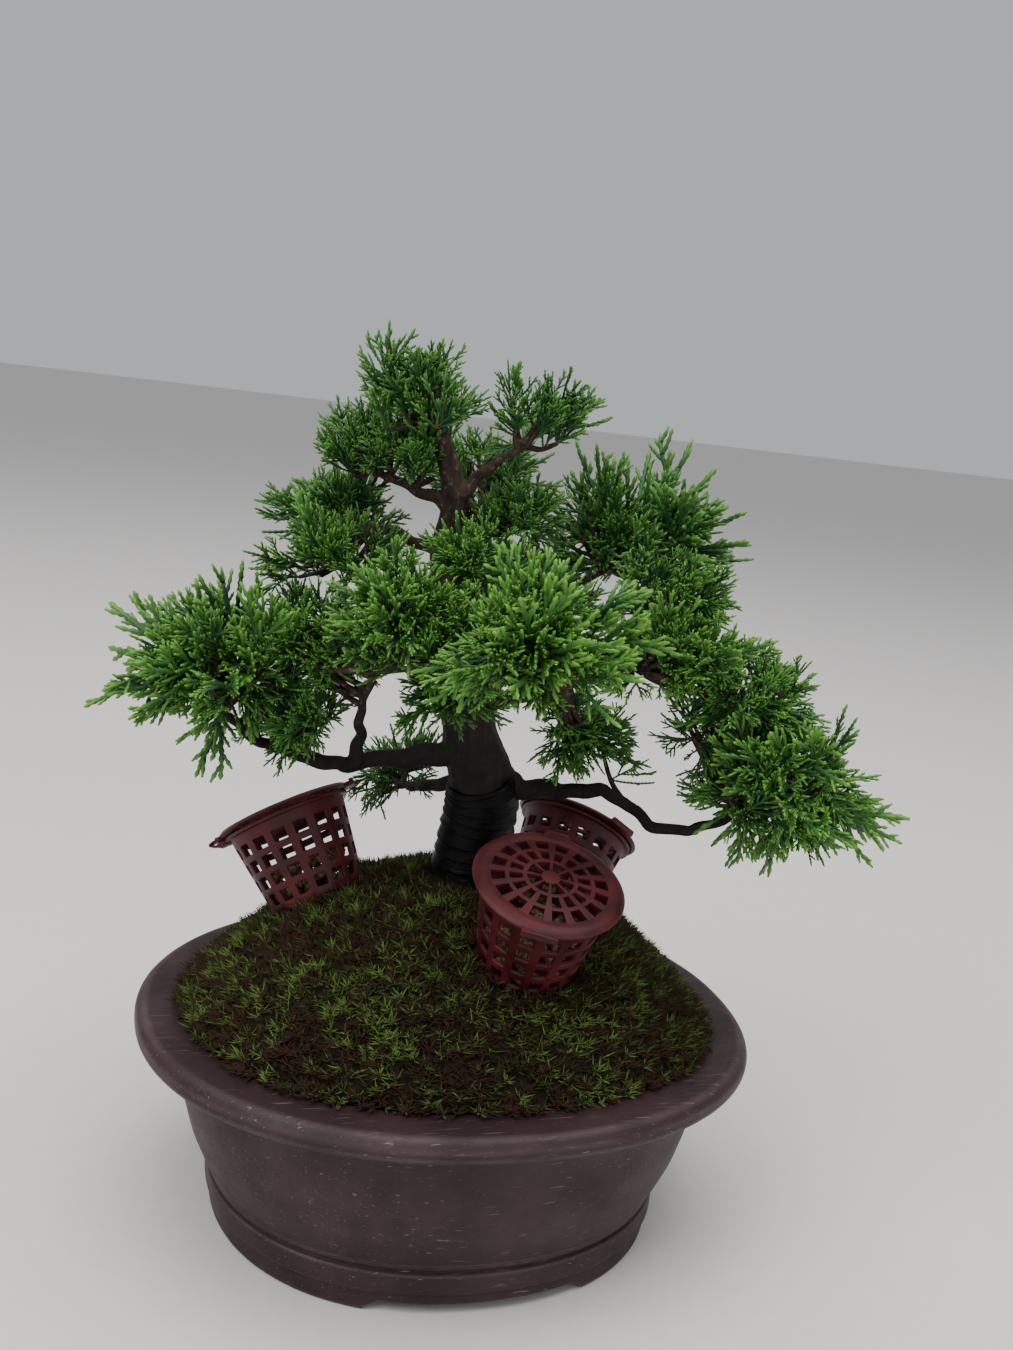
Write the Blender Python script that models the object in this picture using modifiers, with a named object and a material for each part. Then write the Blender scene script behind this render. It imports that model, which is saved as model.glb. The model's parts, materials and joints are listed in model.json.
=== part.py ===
"""Small juniper bonsai in an oval stoneware pot, with moss and three lidded fertiliser baskets.

Sizes are in millimetres and are turned into metres where meshes are made. The origin is under
the middle of the pot, on the surface it stands on: +X along the pot's long side, -Y to the front.
"""
import math

import bmesh
import bpy
from mathutils import Matrix, Vector, noise

MM = 0.001
CLEARANCE = 0.3            # gap left between pieces that touch

# Pot
POT_LENGTH = 165.0         # lip, outer edge to outer edge along X
POT_DEPTH = 140.0          # the same along Y
POT_HEIGHT = 55.0
LIP_WIDTH = 13.5           # flat top of the lip, outer edge to opening
LIP_THICKNESS = 7.0
BASE_INSET = 22.0          # how far the foot stands in from the lip along X
BASE_ROUNDING = 7.5        # how much less it stands in along Y
WALL = 4.0
FLOOR = 5.0
FOOT_HEIGHT = 6.5
FOOT_WIDTH = 6.3
FOOT_GAP_WIDTH = 54.0      # opening under the front and back of the foot ring
FOOT_GAP_HEIGHT = 2.8
OVAL_POWER = 2.16          # 2 is an ellipse, more is fuller at the corners
OVAL_SEGMENTS = 36
DRAIN_RADIUS = 6.0
DRAIN_SPACING = 50.0

# Drain screens and the wires that hold them
SCREEN_SIDE = 20.0
SCREEN_THICKNESS = 1.0
SCREEN_HOLE = 3.6
SCREEN_HOLES = 3
SCREEN_BAR = 1.8
CLIP_WIRE_RADIUS = 0.6
CLIP_LEG = 8.0

# Soil and moss, heaped up to the trunk
MOUND_EDGE = POT_HEIGHT + 1.5    # height of the moss at the pot's opening
MOUND_RISE = 27.5          # from there up to the foot of the trunk
MOUND_POWER = 2.5
MOSS_THICKNESS = 6.0
MOSS_LUMP = 0.9
BED_SHARES = (1.0, 0.8, 0.55, 0.25, 0.0)    # rings of the surface between soil and moss

# Trunk
TRUNK_FOOT = (5.0, 17.0)
ROOT_FLARE = 13.0          # radius of the trunk where it leaves the moss
WOOD_SIDES = 12
TWIG_SIDES = 6
TRUNK_STEPS = 2            # stretches between two given points of the trunk
WRAP_GAP = 0.6
WRAP_THICKNESS = 1.3
WRAP_START = 2.6           # height of the wrap's lower edge above the mound's top
WRAP_LENGTH = 20.5
WRAP_RIDGE = 0.35          # how much the turns of tape differ in radius

# Fertiliser baskets
CUP_HEIGHT = 25.0
CUP_TOP_RADIUS = 16.8
CUP_FOOT_RADIUS = 13.0
CUP_WALL = 1.0
RIM_WIDTH = 1.2
CUP_COLUMNS = 16
CUP_ROWS = 4
HOLE_HEIGHT = 3.2
HOLE_BAR = 1.9
FOOT_BAND = 2.4
LID_RADIUS = 18.5
LID_THICKNESS = 1.2
LID_DOME = 1.6
LATCH_WIDTH = 9.0
LATCH_REACH = 2.4
HINGE_WIDTH = 7.0
HINGE_REACH = 1.6
PELLET_HEAP = (9.6, 9.6, 5.0)
BASKET_SINK = 1.6

# name: seat (x, y) on the moss, lean, heading of the lean, heading of the hinge
BASKETS = {
    "front": ((12.0, -22.0), 20.0, -85.0, 70.0),
    "left": ((-34.0, 21.0), 36.0, 131.0, 163.0),
    "rear": ((38.0, 36.0), 40.0, 45.0, 100.0),
}

# The trunk and each branch that grew from it: centre line, with heights above the pot's lip, and
# the radius at each point
TRUNK_LINE = [
    ((5, 17, 3), 5.0), ((5, 17, 17), 11.0), ((5, 17, 29), ROOT_FLARE - 1.0), ((6.5, 16, 41), 9.6),
    ((7, 14, 55), 9.0), ((2, 12, 69), 8.0), ((-3, 11, 85), 6.2), ((-8, 11, 106), 4.8),
    ((-11, 11, 121), 4.0), ((-11, 9, 135), 3.2), ((-16, 8, 149), 2.0), ((-20, 6, 162), 1.1),
]
BRANCHES = {
    "apex_right": [((-11, 9, 134), 2.4), ((-5, 3, 143), 1.9), ((3, 0, 150), 1.2)],
    "apex_left": [((-11, 10, 132), 2.4), ((-20, 12, 136), 2.0), ((-32, 18, 139), 1.2)],
    "left": [((0, 13, 66), 4.4), ((-23, 15, 63), 3.8), ((-36, 13, 62), 3.4),
             ((-49, 12, 66), 2.8), ((-60, 9, 71), 2.2), ((-69, 10, 83), 1.4)],
    "left_inner": [((-29, 14, 63), 2.2), ((-31, 4, 78), 1.9), ((-31, -7, 94), 1.2)],
    "rear_low": [((2, 17, 57), 2.8), ((-5, 31, 51), 2.4), ((-9, 46, 46), 1.4)],
    "right": [((8, 13, 59), 4.2), ((26, 6, 58), 3.5), ((37, -3, 61), 3.0),
              ((46, -14, 56), 2.6), ((56, -23, 58), 2.2), ((67, -29, 69), 1.3)],
    "upper_right": [((-5, 11, 95), 3.2), ((14, 14, 107), 2.5), ((36, 13, 120), 1.4)],
    "right_inner": [((-2, 12, 79), 3.2), ((19, 2, 88), 2.6), ((36, -11, 98), 1.4)],
    "centre": [((-2, 11, 82), 3.2), ((-5, -12, 89), 2.6), ((-4, -34, 98), 1.4)],
    "upper_left": [((-11, 11, 120), 2.4), ((-22, 21, 123), 1.9), ((-34, 31, 125), 1.2)],
    "rear": [((0, 12, 91), 3.0), ((10, 30, 96), 2.4), ((20, 46, 101), 1.4)],
    "rear_upper": [((-9, 11, 115), 2.2), ((-2, 26, 123), 1.8), ((4, 34, 129), 1.2)],
}

# Foliage pads: centre, with its height above the pot's lip, half sizes, turn about Z and then tilt
# about the pad's own Y, in degrees
PADS = {
    "apex": ((-15, 5, 158), (34, 27, 19), -17, -4),
    "upper_left": ((-39, 35, 129), (18, 17, 13), 10, 8),
    "upper_right": ((41, 12, 126), (28, 22, 19), -10, 10),
    "left": ((-68.5, 11, 90), (28, 26, 21), -12, -8),
    "left_inner": ((-26, -17, 105), (17, 17, 19), 0, 0),
    "centre": ((7, -44, 104), (21, 20, 19), -15, 5),
    "right_inner": ((44, -19, 100), (20, 19, 15), -15, 8),
    "right": ((71, -33, 71), (26, 24, 19), -20, 24),
    "rear": ((22, 50, 103), (27, 17, 15), 0, 4),
    "rear_upper": ((4, 40, 137), (19, 16, 12), 0, 0),
    "rear_low": ((-7, 54, 48), (15, 12, 8), 15, 0),
}
PAD_LUMP = 0.10            # height of a pad's lumps, as a share of its half size
PAD_LUMP_SCALE = 1.9

# Colours (linear), roughness and metallic of each piece
LOOKS = {
    "stoneware": ((0.052, 0.036, 0.034), 0.55, 0.0),
    "black_mesh": ((0.02, 0.02, 0.02), 0.5, 0.0),
    "wire": ((0.36, 0.20, 0.12), 0.4, 1.0),
    "soil": ((0.09, 0.045, 0.025), 0.95, 0.0),
    "moss": ((0.055, 0.10, 0.012), 0.95, 0.0),
    "bark": ((0.095, 0.055, 0.038), 0.9, 0.0),
    "black_tape": ((0.012, 0.012, 0.013), 0.45, 0.0),
    "foliage": ((0.045, 0.17, 0.022), 0.7, 0.0),
    "maroon_plastic": ((0.085, 0.018, 0.02), 0.4, 0.0),
    "fertiliser": ((0.14, 0.09, 0.05), 0.95, 0.0),
}


# ---------------------------------------------------------------- helpers

def clear_scene():
    for obj in list(bpy.data.objects):
        bpy.data.objects.remove(obj, do_unlink=True)


def new_collection(name):
    collection = bpy.data.collections.new(name)
    bpy.context.scene.collection.children.link(collection)
    return collection


def material(node, look):
    colour, roughness, metallic = LOOKS[look]
    made = bpy.data.materials.new(node)
    made.use_nodes = True
    shader = made.node_tree.nodes["Principled BSDF"]
    shader.inputs["Base Color"].default_value = (*colour, 1.0)
    shader.inputs["Roughness"].default_value = roughness
    shader.inputs["Metallic"].default_value = metallic
    made.diffuse_color = (*colour, 1.0)
    return made


def add(name, mesh, look=None, parent=None):
    """An object of the bonsai, or with no look a cutter."""
    obj = bpy.data.objects.new(name, mesh)
    if look:
        PARTS.objects.link(obj)
        obj.data.materials.clear()
        obj.data.materials.append(material(name, look))
    else:
        CUTTERS.objects.link(obj)
        obj.hide_render = True
        obj.display_type = "WIRE"
    obj.parent = parent
    return obj


def to_mesh(name, bm, smooth=True):
    """A mesh in metres from a bmesh in millimetres, with its faces pointing out."""
    bmesh.ops.recalc_face_normals(bm, faces=bm.faces)
    bmesh.ops.scale(bm, vec=(MM, MM, MM), verts=bm.verts)
    mesh = bpy.data.meshes.new(name)
    bm.to_mesh(mesh)
    bm.free()
    if smooth:
        mesh.shade_smooth()
        mesh.set_sharp_from_angle(angle=math.radians(35))
    return mesh


def evaluated_mesh(obj):
    graph = bpy.context.evaluated_depsgraph_get()
    graph.update()
    return bpy.data.meshes.new_from_object(obj.evaluated_get(graph))


def boolean(obj, cutter, operation="DIFFERENCE"):
    modifier = obj.modifiers.new(cutter.name, "BOOLEAN")
    modifier.operation = operation
    modifier.solver = "EXACT"
    modifier.object = cutter


def bake(obj):
    """Replace an object's mesh by its evaluated one and drop its modifiers."""
    mesh = evaluated_mesh(obj)
    obj.modifiers.clear()
    obj.data = mesh


def loft(rings, start=None, end=None):
    """Faces between rings of equal length. A start or end point closes that end with a fan;
    with neither, the last ring joins the first."""
    bm = bmesh.new()
    rows = [[bm.verts.new(p) for p in ring] for ring in rings]
    count = len(rows[0])
    pairs = list(zip(rows, rows[1:]))
    if start is None and end is None:
        pairs.append((rows[-1], rows[0]))
    for low, high in pairs:
        for i in range(count):
            j = (i + 1) % count
            bm.faces.new((low[i], low[j], high[j], high[i]))
    for point, row in ((start, rows[0]), (end, rows[-1])):
        if point is not None:
            tip = bm.verts.new(point)
            for i in range(count):
                bm.faces.new((row[i], row[(i + 1) % count], tip))
    return bm


def box(name, low, high, look=None):
    bm = bmesh.new()
    bmesh.ops.create_cube(bm, size=1.0)
    low, high = Vector(low), Vector(high)
    bmesh.ops.scale(bm, vec=high - low, verts=bm.verts)
    bmesh.ops.translate(bm, vec=(low + high) / 2, verts=bm.verts)
    return add(name, to_mesh(name, bm, smooth=False), look)


def prism(name, outline, half_depth):
    """An outline in X and Z, run along Y to both sides."""
    bm = bmesh.new()
    face = bm.faces.new([bm.verts.new((x, -half_depth, z)) for x, z in outline])
    run = bmesh.ops.extrude_face_region(bm, geom=[face])
    moved = [v for v in run["geom"] if isinstance(v, bmesh.types.BMVert)]
    bmesh.ops.translate(bm, vec=(0, 2 * half_depth, 0), verts=moved)
    return add(name, to_mesh(name, bm, smooth=False))


def above_lip(point):
    """A place of the tree from its height above the pot's lip."""
    return Vector(point) + Vector((0, 0, POT_HEIGHT))


def smooth_line(points, steps):
    """Points and radii along a Catmull-Rom curve through the given ones."""
    line = [(above_lip(p), r) for p, r in points]
    line = [line[0]] + line + [line[-1]]
    out = []
    for a, b, c, d in zip(line, line[1:], line[2:], line[3:]):
        for k in range(steps):
            t = k / steps
            weights = (
                -0.5 * t + t * t - 0.5 * t ** 3,
                1 - 2.5 * t * t + 1.5 * t ** 3,
                0.5 * t + 2 * t * t - 1.5 * t ** 3,
                -0.5 * t * t + 0.5 * t ** 3,
            )
            place = sum((w * p[0] for w, p in zip(weights, (a, b, c, d))), Vector())
            out.append((place, b[1] + (c[1] - b[1]) * t))
    out.append(line[-1])
    return out


def in_between(points, parts):
    """The same broken line with each stretch cut into equal parts."""
    out = []
    for (a, radius_a), (b, radius_b) in zip(points, points[1:]):
        for k in range(parts):
            out.append((a.lerp(b, k / parts), radius_a + (radius_b - radius_a) * k / parts))
    return out + [points[-1]]


def tube(name, points, sides, grow=0.0, capped=True):
    """A round tube along points with a radius at each, as a mesh in metres."""
    curve = bpy.data.curves.new(name, "CURVE")
    curve.dimensions = "3D"
    curve.fill_mode = "FULL"
    curve.use_fill_caps = capped
    curve.bevel_depth = MM
    curve.bevel_resolution = sides // 2 - 2
    spline = curve.splines.new("POLY")
    spline.points.add(len(points) - 1)
    for target, (place, radius) in zip(spline.points, points):
        target.co = (*(place * MM), 1.0)
        target.radius = radius + grow
    holder = bpy.data.objects.new(name, curve)
    CUTTERS.objects.link(holder)
    mesh = evaluated_mesh(holder)
    bpy.data.objects.remove(holder, do_unlink=True)
    bm = bmesh.new()
    bm.from_mesh(mesh)
    bmesh.ops.remove_doubles(bm, verts=bm.verts, dist=1e-6)
    bm.to_mesh(mesh)
    bm.free()
    return mesh


# ---------------------------------------------------------------- pot

def oval_point(half_x, half_y, angle):
    c, s = math.cos(angle), math.sin(angle)
    power = 2 / OVAL_POWER
    return (math.copysign(abs(c) ** power, c) * half_x, math.copysign(abs(s) ** power, s) * half_y)


def base_shift(z):
    """How much less the pot draws in along Y than along X, from none at the lip's underside."""
    under_lip = POT_HEIGHT - LIP_THICKNESS
    return BASE_ROUNDING * max(0.0, 1 - z / under_lip)


def oval(inset, z):
    """One level of the pot: the lip's outer edge drawn in by inset."""
    half_x = POT_LENGTH / 2 - inset
    half_y = POT_DEPTH / 2 - inset + base_shift(z)
    turns = (2 * math.pi * k / OVAL_SEGMENTS for k in range(OVAL_SEGMENTS))
    return [Vector((*oval_point(half_x, half_y, a), z)) for a in turns]


def cavity_profile(gap=0.0):
    """Inside of the pot, from the floor's edge up to the lip, as (inset, z)."""
    floor_top = FOOT_HEIGHT + FLOOR
    shoulder = POT_HEIGHT - LIP_THICKNESS
    levels = [
        (BASE_INSET + WALL + 5.0, floor_top),
        (BASE_INSET + WALL, floor_top + 1.4),
        (BASE_INSET + WALL - 4.5, floor_top + 7.0),
        (BASE_INSET + WALL - 7.8, floor_top + 16.0),
        (LIP_WIDTH + 2.0, shoulder - 8.0),
        (LIP_WIDTH + 0.2, shoulder),
    ]
    return [(inset + gap, z + gap) for inset, z in levels]


def make_pot():
    base = BASE_INSET
    top = POT_HEIGHT
    under = POT_HEIGHT - LIP_THICKNESS
    belt = FOOT_HEIGHT + 4.5
    outside = [
        (base + FOOT_WIDTH, FOOT_HEIGHT), (base + FOOT_WIDTH, 0.6), (base + FOOT_WIDTH - 0.6, 0.0),
        (base + 0.8, 0.0), (base, 0.8), (base - 0.2, FOOT_HEIGHT - 1.3), (base - 1.2, FOOT_HEIGHT - 0.7),
        (base - 1.3, belt - 0.6), (base - 0.2, belt), (base - 1.0, belt + 1.2), (base - 1.2, belt + 2.4),
        (base - 3.4, belt + 6.0), (base - 6.5, belt + 13.0), (base - 8.8, belt + 21.0),
        (base - 10.0, under - 8.0), (base - 11.2, under - 3.0), (base - 13.0, under - 0.6),
        (3.0, under), (0.9, under + 0.9), (0.0, under + 3.4), (0.4, top - 1.4), (1.8, top - 0.2),
        (3.2, top), (LIP_WIDTH - 0.9, top - 0.2), (LIP_WIDTH, top - 0.8),
    ]
    inside = list(reversed(cavity_profile()))
    rings = [oval(inset, z) for inset, z in outside + inside]
    floor_top = FOOT_HEIGHT + FLOOR
    bm = loft(rings, start=(0, 0, FOOT_HEIGHT), end=(0, 0, floor_top))
    pot = add("pot", to_mesh("pot", bm), "stoneware")
    half = FOOT_GAP_WIDTH / 2
    high = FOOT_GAP_HEIGHT
    outline = [(-half, -1), (half, -1), (half, 0.9), (half - 1.6, 1.3), (half - 2.4, high),
               (2.4 - half, high), (1.6 - half, 1.3), (-half, 0.9)]
    boolean(pot, prism("foot_gap", outline, POT_DEPTH / 2))
    for side, x in drain_places():
        bm = bmesh.new()
        bmesh.ops.create_cone(bm, cap_ends=True, segments=16, radius1=DRAIN_RADIUS,
                              radius2=DRAIN_RADIUS, depth=2 * FLOOR)
        bmesh.ops.rotate(bm, matrix=Matrix.Rotation(math.radians(7), 3, "Z"), verts=bm.verts)
        bmesh.ops.translate(bm, vec=(x, 0, FOOT_HEIGHT + FLOOR / 2), verts=bm.verts)
        boolean(pot, add(f"drain_{side}", to_mesh(f"drain_{side}", bm)))
    return pot


def drain_places():
    return (("left", -DRAIN_SPACING / 2), ("right", DRAIN_SPACING / 2))


def make_screens():
    """A square of plastic mesh over each drain hole and the wire that clips it there."""
    bottom = FOOT_HEIGHT + FLOOR + CLEARANCE
    pitch = SCREEN_HOLE + SCREEN_BAR
    edges = [-SCREEN_SIDE / 2]
    for k in range(SCREEN_HOLES):
        middle = (k - (SCREEN_HOLES - 1) / 2) * pitch
        edges += [middle - SCREEN_HOLE / 2, middle + SCREEN_HOLE / 2]
    edges.append(SCREEN_SIDE / 2)
    for side, x in drain_places():
        bm = bmesh.new()
        grid = [[bm.verts.new((x + u, v, bottom)) for u in edges] for v in edges]
        for i in range(len(edges) - 1):
            for j in range(len(edges) - 1):
                if not (i % 2 and j % 2):
                    bm.faces.new((grid[i][j], grid[i][j + 1], grid[i + 1][j + 1], grid[i + 1][j]))
        name = f"drain_screen_{side}"
        screen = add(name, to_mesh(name, bm, smooth=False), "black_mesh")
        thicken(screen, SCREEN_THICKNESS, 1.0)
        leg = pitch - SCREEN_HOLE / 4
        low = FOOT_HEIGHT - CLEARANCE - CLIP_WIRE_RADIUS
        high = bottom + SCREEN_THICKNESS + CLEARANCE + CLIP_WIRE_RADIUS
        route = [(-leg - CLIP_LEG, low), (-leg - 0.8, low), (-leg, low + 0.8), (-leg, high - 0.8),
                 (-leg + 0.8, high), (leg - 0.8, high), (leg, high - 0.8), (leg, low + 0.8),
                 (leg + 0.8, low), (leg + CLIP_LEG, low)]
        line = [(Vector((x + u, 0, z)), CLIP_WIRE_RADIUS) for u, z in route]
        name = f"screen_clip_{side}"
        mesh = tube(name, line, 8)
        mesh.shade_smooth()
        add(name, mesh, "wire")


def thicken(obj, amount, offset):
    modifier = obj.modifiers.new("thickness", "SOLIDIFY")
    modifier.thickness = amount * MM
    modifier.offset = offset
    modifier.use_even_offset = True


# ---------------------------------------------------------------- soil and moss

def mound_share(x, y):
    """0 at the trunk's foot, 1 at the edge of the pot's opening, along a straight line between."""
    half_x = POT_LENGTH / 2 - LIP_WIDTH
    half_y = POT_DEPTH / 2 - LIP_WIDTH
    foot = Vector(TRUNK_FOOT)
    low, high = 0.001, 1.5
    for _ in range(30):
        share = (low + high) / 2
        p = foot + (Vector((x, y)) - foot) / share
        outside = abs(p.x / half_x) ** OVAL_POWER + abs(p.y / half_y) ** OVAL_POWER > 1
        low, high = (share, high) if outside else (low, share)
    return (low + high) / 2


def mound_height(share):
    return MOUND_EDGE + MOUND_RISE * (1 - min(share, 1.0) ** MOUND_POWER)


def mound_ring(share, drop, lump=0.0):
    """A ring on the mound, from the hole round the trunk (share 0) to the pot's wall (share 1)."""
    ring = []
    for edge in oval(LIP_WIDTH + 0.2 + CLEARANCE, POT_HEIGHT):
        out = Vector((edge.x - TRUNK_FOOT[0], edge.y - TRUNK_FOOT[1]))
        start = out.normalized() * (ROOT_FLARE + CLEARANCE)
        flat = Vector(TRUNK_FOOT) + start + (out - start) * share
        z = mound_height(mound_share(flat.x, flat.y)) - drop
        z += lump * noise.noise(Vector((flat.x * 0.16, flat.y * 0.16, 3.0)))
        ring.append(Vector((flat.x, flat.y, z)))
    return ring


def make_soil():
    gap = CLEARANCE
    top = MOUND_EDGE - MOSS_THICKNESS - gap
    side = [oval(inset, z) for inset, z in cavity_profile(gap) if z < top - 1]
    drop = MOSS_THICKNESS + gap
    surface = [mound_ring(share, drop) for share in BED_SHARES]
    floor = (0, 0, FOOT_HEIGHT + FLOOR + gap)
    peak = (*TRUNK_FOOT, mound_height(0) - drop)
    bm = loft(side + surface, start=floor, end=peak)
    soil = add("soil", to_mesh("soil", bm), "soil")
    boolean(soil, WOOD_CLEARANCE)
    half = SCREEN_SIDE / 2 + gap
    pocket_top = FOOT_HEIGHT + FLOOR + SCREEN_THICKNESS + 2 * CLIP_WIRE_RADIUS + 4 * gap
    for side_name, x in drain_places():
        low = (x - half, -half, FOOT_HEIGHT)
        boolean(soil, box(f"screen_pocket_{side_name}", low, (x + half, half, pocket_top)))
    for cutter in SEATS:
        boolean(soil, cutter)


def make_moss():
    shares = (0.0, 0.08, 0.2, 0.34, 0.48, 0.62, 0.75, 0.87, 0.95, 1.0)
    top = [mound_ring(s, 0.0, MOSS_LUMP if 0 < s < 1 else 0.0) for s in shares]
    under = [mound_ring(s, MOSS_THICKNESS) for s in BED_SHARES]
    bm = loft(top + under)
    moss = add("moss", to_mesh("moss", bm), "moss")
    for cutter in SEATS:
        boolean(moss, cutter)


# ---------------------------------------------------------------- tree

def wood_mesh(name, grow=0.0):
    """Trunk and branches grown together, each tube widened by grow."""
    trunk = add(name, tube(name, smooth_line(TRUNK_LINE, TRUNK_STEPS), WOOD_SIDES, grow))
    for branch, points in BRANCHES.items():
        limb = add(f"{name}_{branch}", tube(branch, smooth_line(points, 2), TWIG_SIDES, grow))
        boolean(trunk, limb, "UNION")
        bake(trunk)
        bpy.data.objects.remove(limb, do_unlink=True)
    return trunk


def make_tree():
    cutter = WOOD_CLEARANCE
    grown = wood_mesh("wood")
    mesh = grown.data
    bpy.data.objects.remove(grown, do_unlink=True)
    mesh.shade_smooth()
    mesh.set_sharp_from_angle(angle=math.radians(50))
    add("trunk", mesh, "bark")
    for index, (name, (centre, half, turn, tilt)) in enumerate(PADS.items()):
        pad = add(f"foliage_{name}", pad_mesh(index, half), "foliage")
        pad.location = above_lip(centre) * MM
        pad.rotation_euler = (0, math.radians(tilt), math.radians(turn))
        boolean(pad, cutter)


def pad_mesh(index, half):
    """A lumpy cushion of foliage."""
    bm = bmesh.new()
    bmesh.ops.create_icosphere(bm, subdivisions=3, radius=1.0)
    for vert in bm.verts:
        lump = noise.noise(vert.co * PAD_LUMP_SCALE + Vector((7.0 * index, 0, 0)))
        vert.co *= 1 + PAD_LUMP * 2 * lump
        vert.co = Vector((vert.co.x * half[0], vert.co.y * half[1], vert.co.z * half[2]))
    return to_mesh("foliage", bm)


def make_wrap():
    """A sleeve of black tape round the foot of the trunk, in overlapping turns."""
    start = MOUND_EDGE + MOUND_RISE + WRAP_START
    line = in_between(smooth_line(TRUNK_LINE, TRUNK_STEPS), 5)
    held = [(p, r) for p, r in line if start <= p.z <= start + WRAP_LENGTH]
    turns = [(p, r + WRAP_RIDGE * (k % 3)) for k, (p, r) in enumerate(held)]
    mesh = tube("trunk_wrap", turns, 16, WRAP_GAP, capped=False)
    mesh.shade_smooth()
    thicken(add("trunk_wrap", mesh, "black_tape"), WRAP_THICKNESS, 1.0)


# ---------------------------------------------------------------- baskets

def heading(degrees):
    return Vector((math.cos(math.radians(degrees)), math.sin(math.radians(degrees)), 0.0))


def seat_matrix(seat, lean, lean_heading, hinge_heading):
    """Where a basket stands: local Z up its axis, local Y towards its hinge."""
    up = Vector((0, 0, math.cos(math.radians(lean))))
    up += heading(lean_heading) * math.sin(math.radians(lean))
    back = heading(hinge_heading)
    back = (back - back.dot(up) * up).normalized()
    right = back.cross(up)
    place = Vector((*seat, mound_height(mound_share(*seat)) - BASKET_SINK))
    turn = Matrix((right, back, up)).transposed().to_4x4()
    return Matrix.Translation(place * MM) @ turn


def cup_radius(z):
    return CUP_FOOT_RADIUS + (CUP_TOP_RADIUS - CUP_FOOT_RADIUS) * z / CUP_HEIGHT


def ring_of(radius, z, count, start=0.0):
    angles = (start + 2 * math.pi * k / count for k in range(count))
    return [(radius * math.cos(a), radius * math.sin(a), z) for a in angles]


def pierced(levels, is_hole, centre=None):
    """A surface through rings of points, without the cells that is_hole picks."""
    bm = bmesh.new()
    rows = [[bm.verts.new(p) for p in ring] for ring in levels]
    count = len(rows[0])
    for row in range(len(rows) - 1):
        for i in range(count):
            if not is_hole(row, i):
                j = (i + 1) % count
                bm.faces.new((rows[row][i], rows[row][j], rows[row + 1][j], rows[row + 1][i]))
    if centre is not None:
        bm.faces.new(list(reversed(rows[0])) if centre else rows[0])
    return bm


def cup_mesh():
    """Tapered round cup with rows of square holes, a plain band and a flange at the top."""
    columns = 2 * CUP_COLUMNS
    heights = [0.0, FOOT_BAND]
    for _ in range(CUP_ROWS):
        heights += [heights[-1] + HOLE_HEIGHT, heights[-1] + HOLE_HEIGHT + HOLE_BAR]
    under_rim = CUP_HEIGHT - CUP_WALL
    heights[-1] = under_rim
    levels = [ring_of(cup_radius(z), z, columns) for z in heights]
    levels.append(ring_of(CUP_TOP_RADIUS + RIM_WIDTH, under_rim, columns))
    hole_rows = range(1, 2 * CUP_ROWS, 2)
    bm = pierced(levels, lambda row, i: row in hole_rows and i % 2 == 1, centre=True)
    body = add("cup_body", to_mesh("cup", bm))
    thicken(body, CUP_WALL, -facing(body.data, Vector((0, 0, under_rim * MM / 2))))
    bake(body)
    lug = box("hinge_lug", (-HINGE_WIDTH / 2, CUP_TOP_RADIUS - 0.4, under_rim - 0.4),
              (HINGE_WIDTH / 2, LID_RADIUS + HINGE_REACH, CUP_HEIGHT - 0.1))
    return join(body, [lug])


def lid_mesh():
    """Domed round lid pierced in three rings, with a latch tab in front and a hinge tab behind.

    Its own origin is on the hinge axis."""
    columns = 2 * CUP_COLUMNS
    radii = [LID_RADIUS * share for share in (0.12, 0.30, 0.40, 0.55, 0.65, 0.80, 1.0)]
    bottom = CLEARANCE / 2

    def height(radius):
        return bottom + LID_DOME * (1 - (radius / LID_RADIUS) ** 2)

    levels = [ring_of(r, height(r), columns) for r in radii]

    def is_hole(row, i):
        if row == 0:
            return i % 4 != 0
        return row in (2, 4) and i % 2 == 1

    bm = pierced(levels, is_hole, centre=False)
    body = add("lid_body", to_mesh("lid", bm))
    thicken(body, LID_THICKNESS, facing(body.data, Vector((0, 0, -1))))
    bake(body)
    reach = LID_RADIUS + HINGE_REACH
    inner = LID_RADIUS - 1.5
    top = bottom + LID_THICKNESS
    hinge = box("hinge_tab", (-HINGE_WIDTH / 2, inner, bottom), (HINGE_WIDTH / 2, reach, top))
    latch = box("latch_tab", (-LATCH_WIDTH / 2, -LID_RADIUS - LATCH_REACH, bottom),
                (LATCH_WIDTH / 2, -inner, top))
    mesh = join(body, [hinge, latch])
    mesh.transform(Matrix.Translation((0, -reach * MM, 0)))
    return mesh


def facing(mesh, point):
    """1 where a surface's faces look away from a point, and -1 where they look towards it."""
    return math.copysign(1.0, sum(f.area * f.normal.dot(f.center - point) for f in mesh.polygons))


def join(body, pieces):
    for piece in pieces:
        boolean(body, piece, "UNION")
    bake(body)
    mesh = body.data
    for obj in [body] + pieces:
        bpy.data.objects.remove(obj, do_unlink=True)
    return mesh


def heap_mesh():
    """A loose heap of fertiliser pellets as one lumpy body."""
    bm = bmesh.new()
    bmesh.ops.create_icosphere(bm, subdivisions=2, radius=1.0)
    base = CUP_WALL + CLEARANCE
    for vert in bm.verts:
        vert.co *= 1 + 0.12 * noise.noise(vert.co * 2.5)
        half = PELLET_HEAP
        vert.co = Vector((vert.co.x * half[0], vert.co.y * half[1], vert.co.z * half[2]))
    lowest = min(vert.co.z for vert in bm.verts)
    bmesh.ops.translate(bm, vec=(0, 0, base - lowest), verts=bm.verts)
    return to_mesh("fertiliser", bm)


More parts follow.
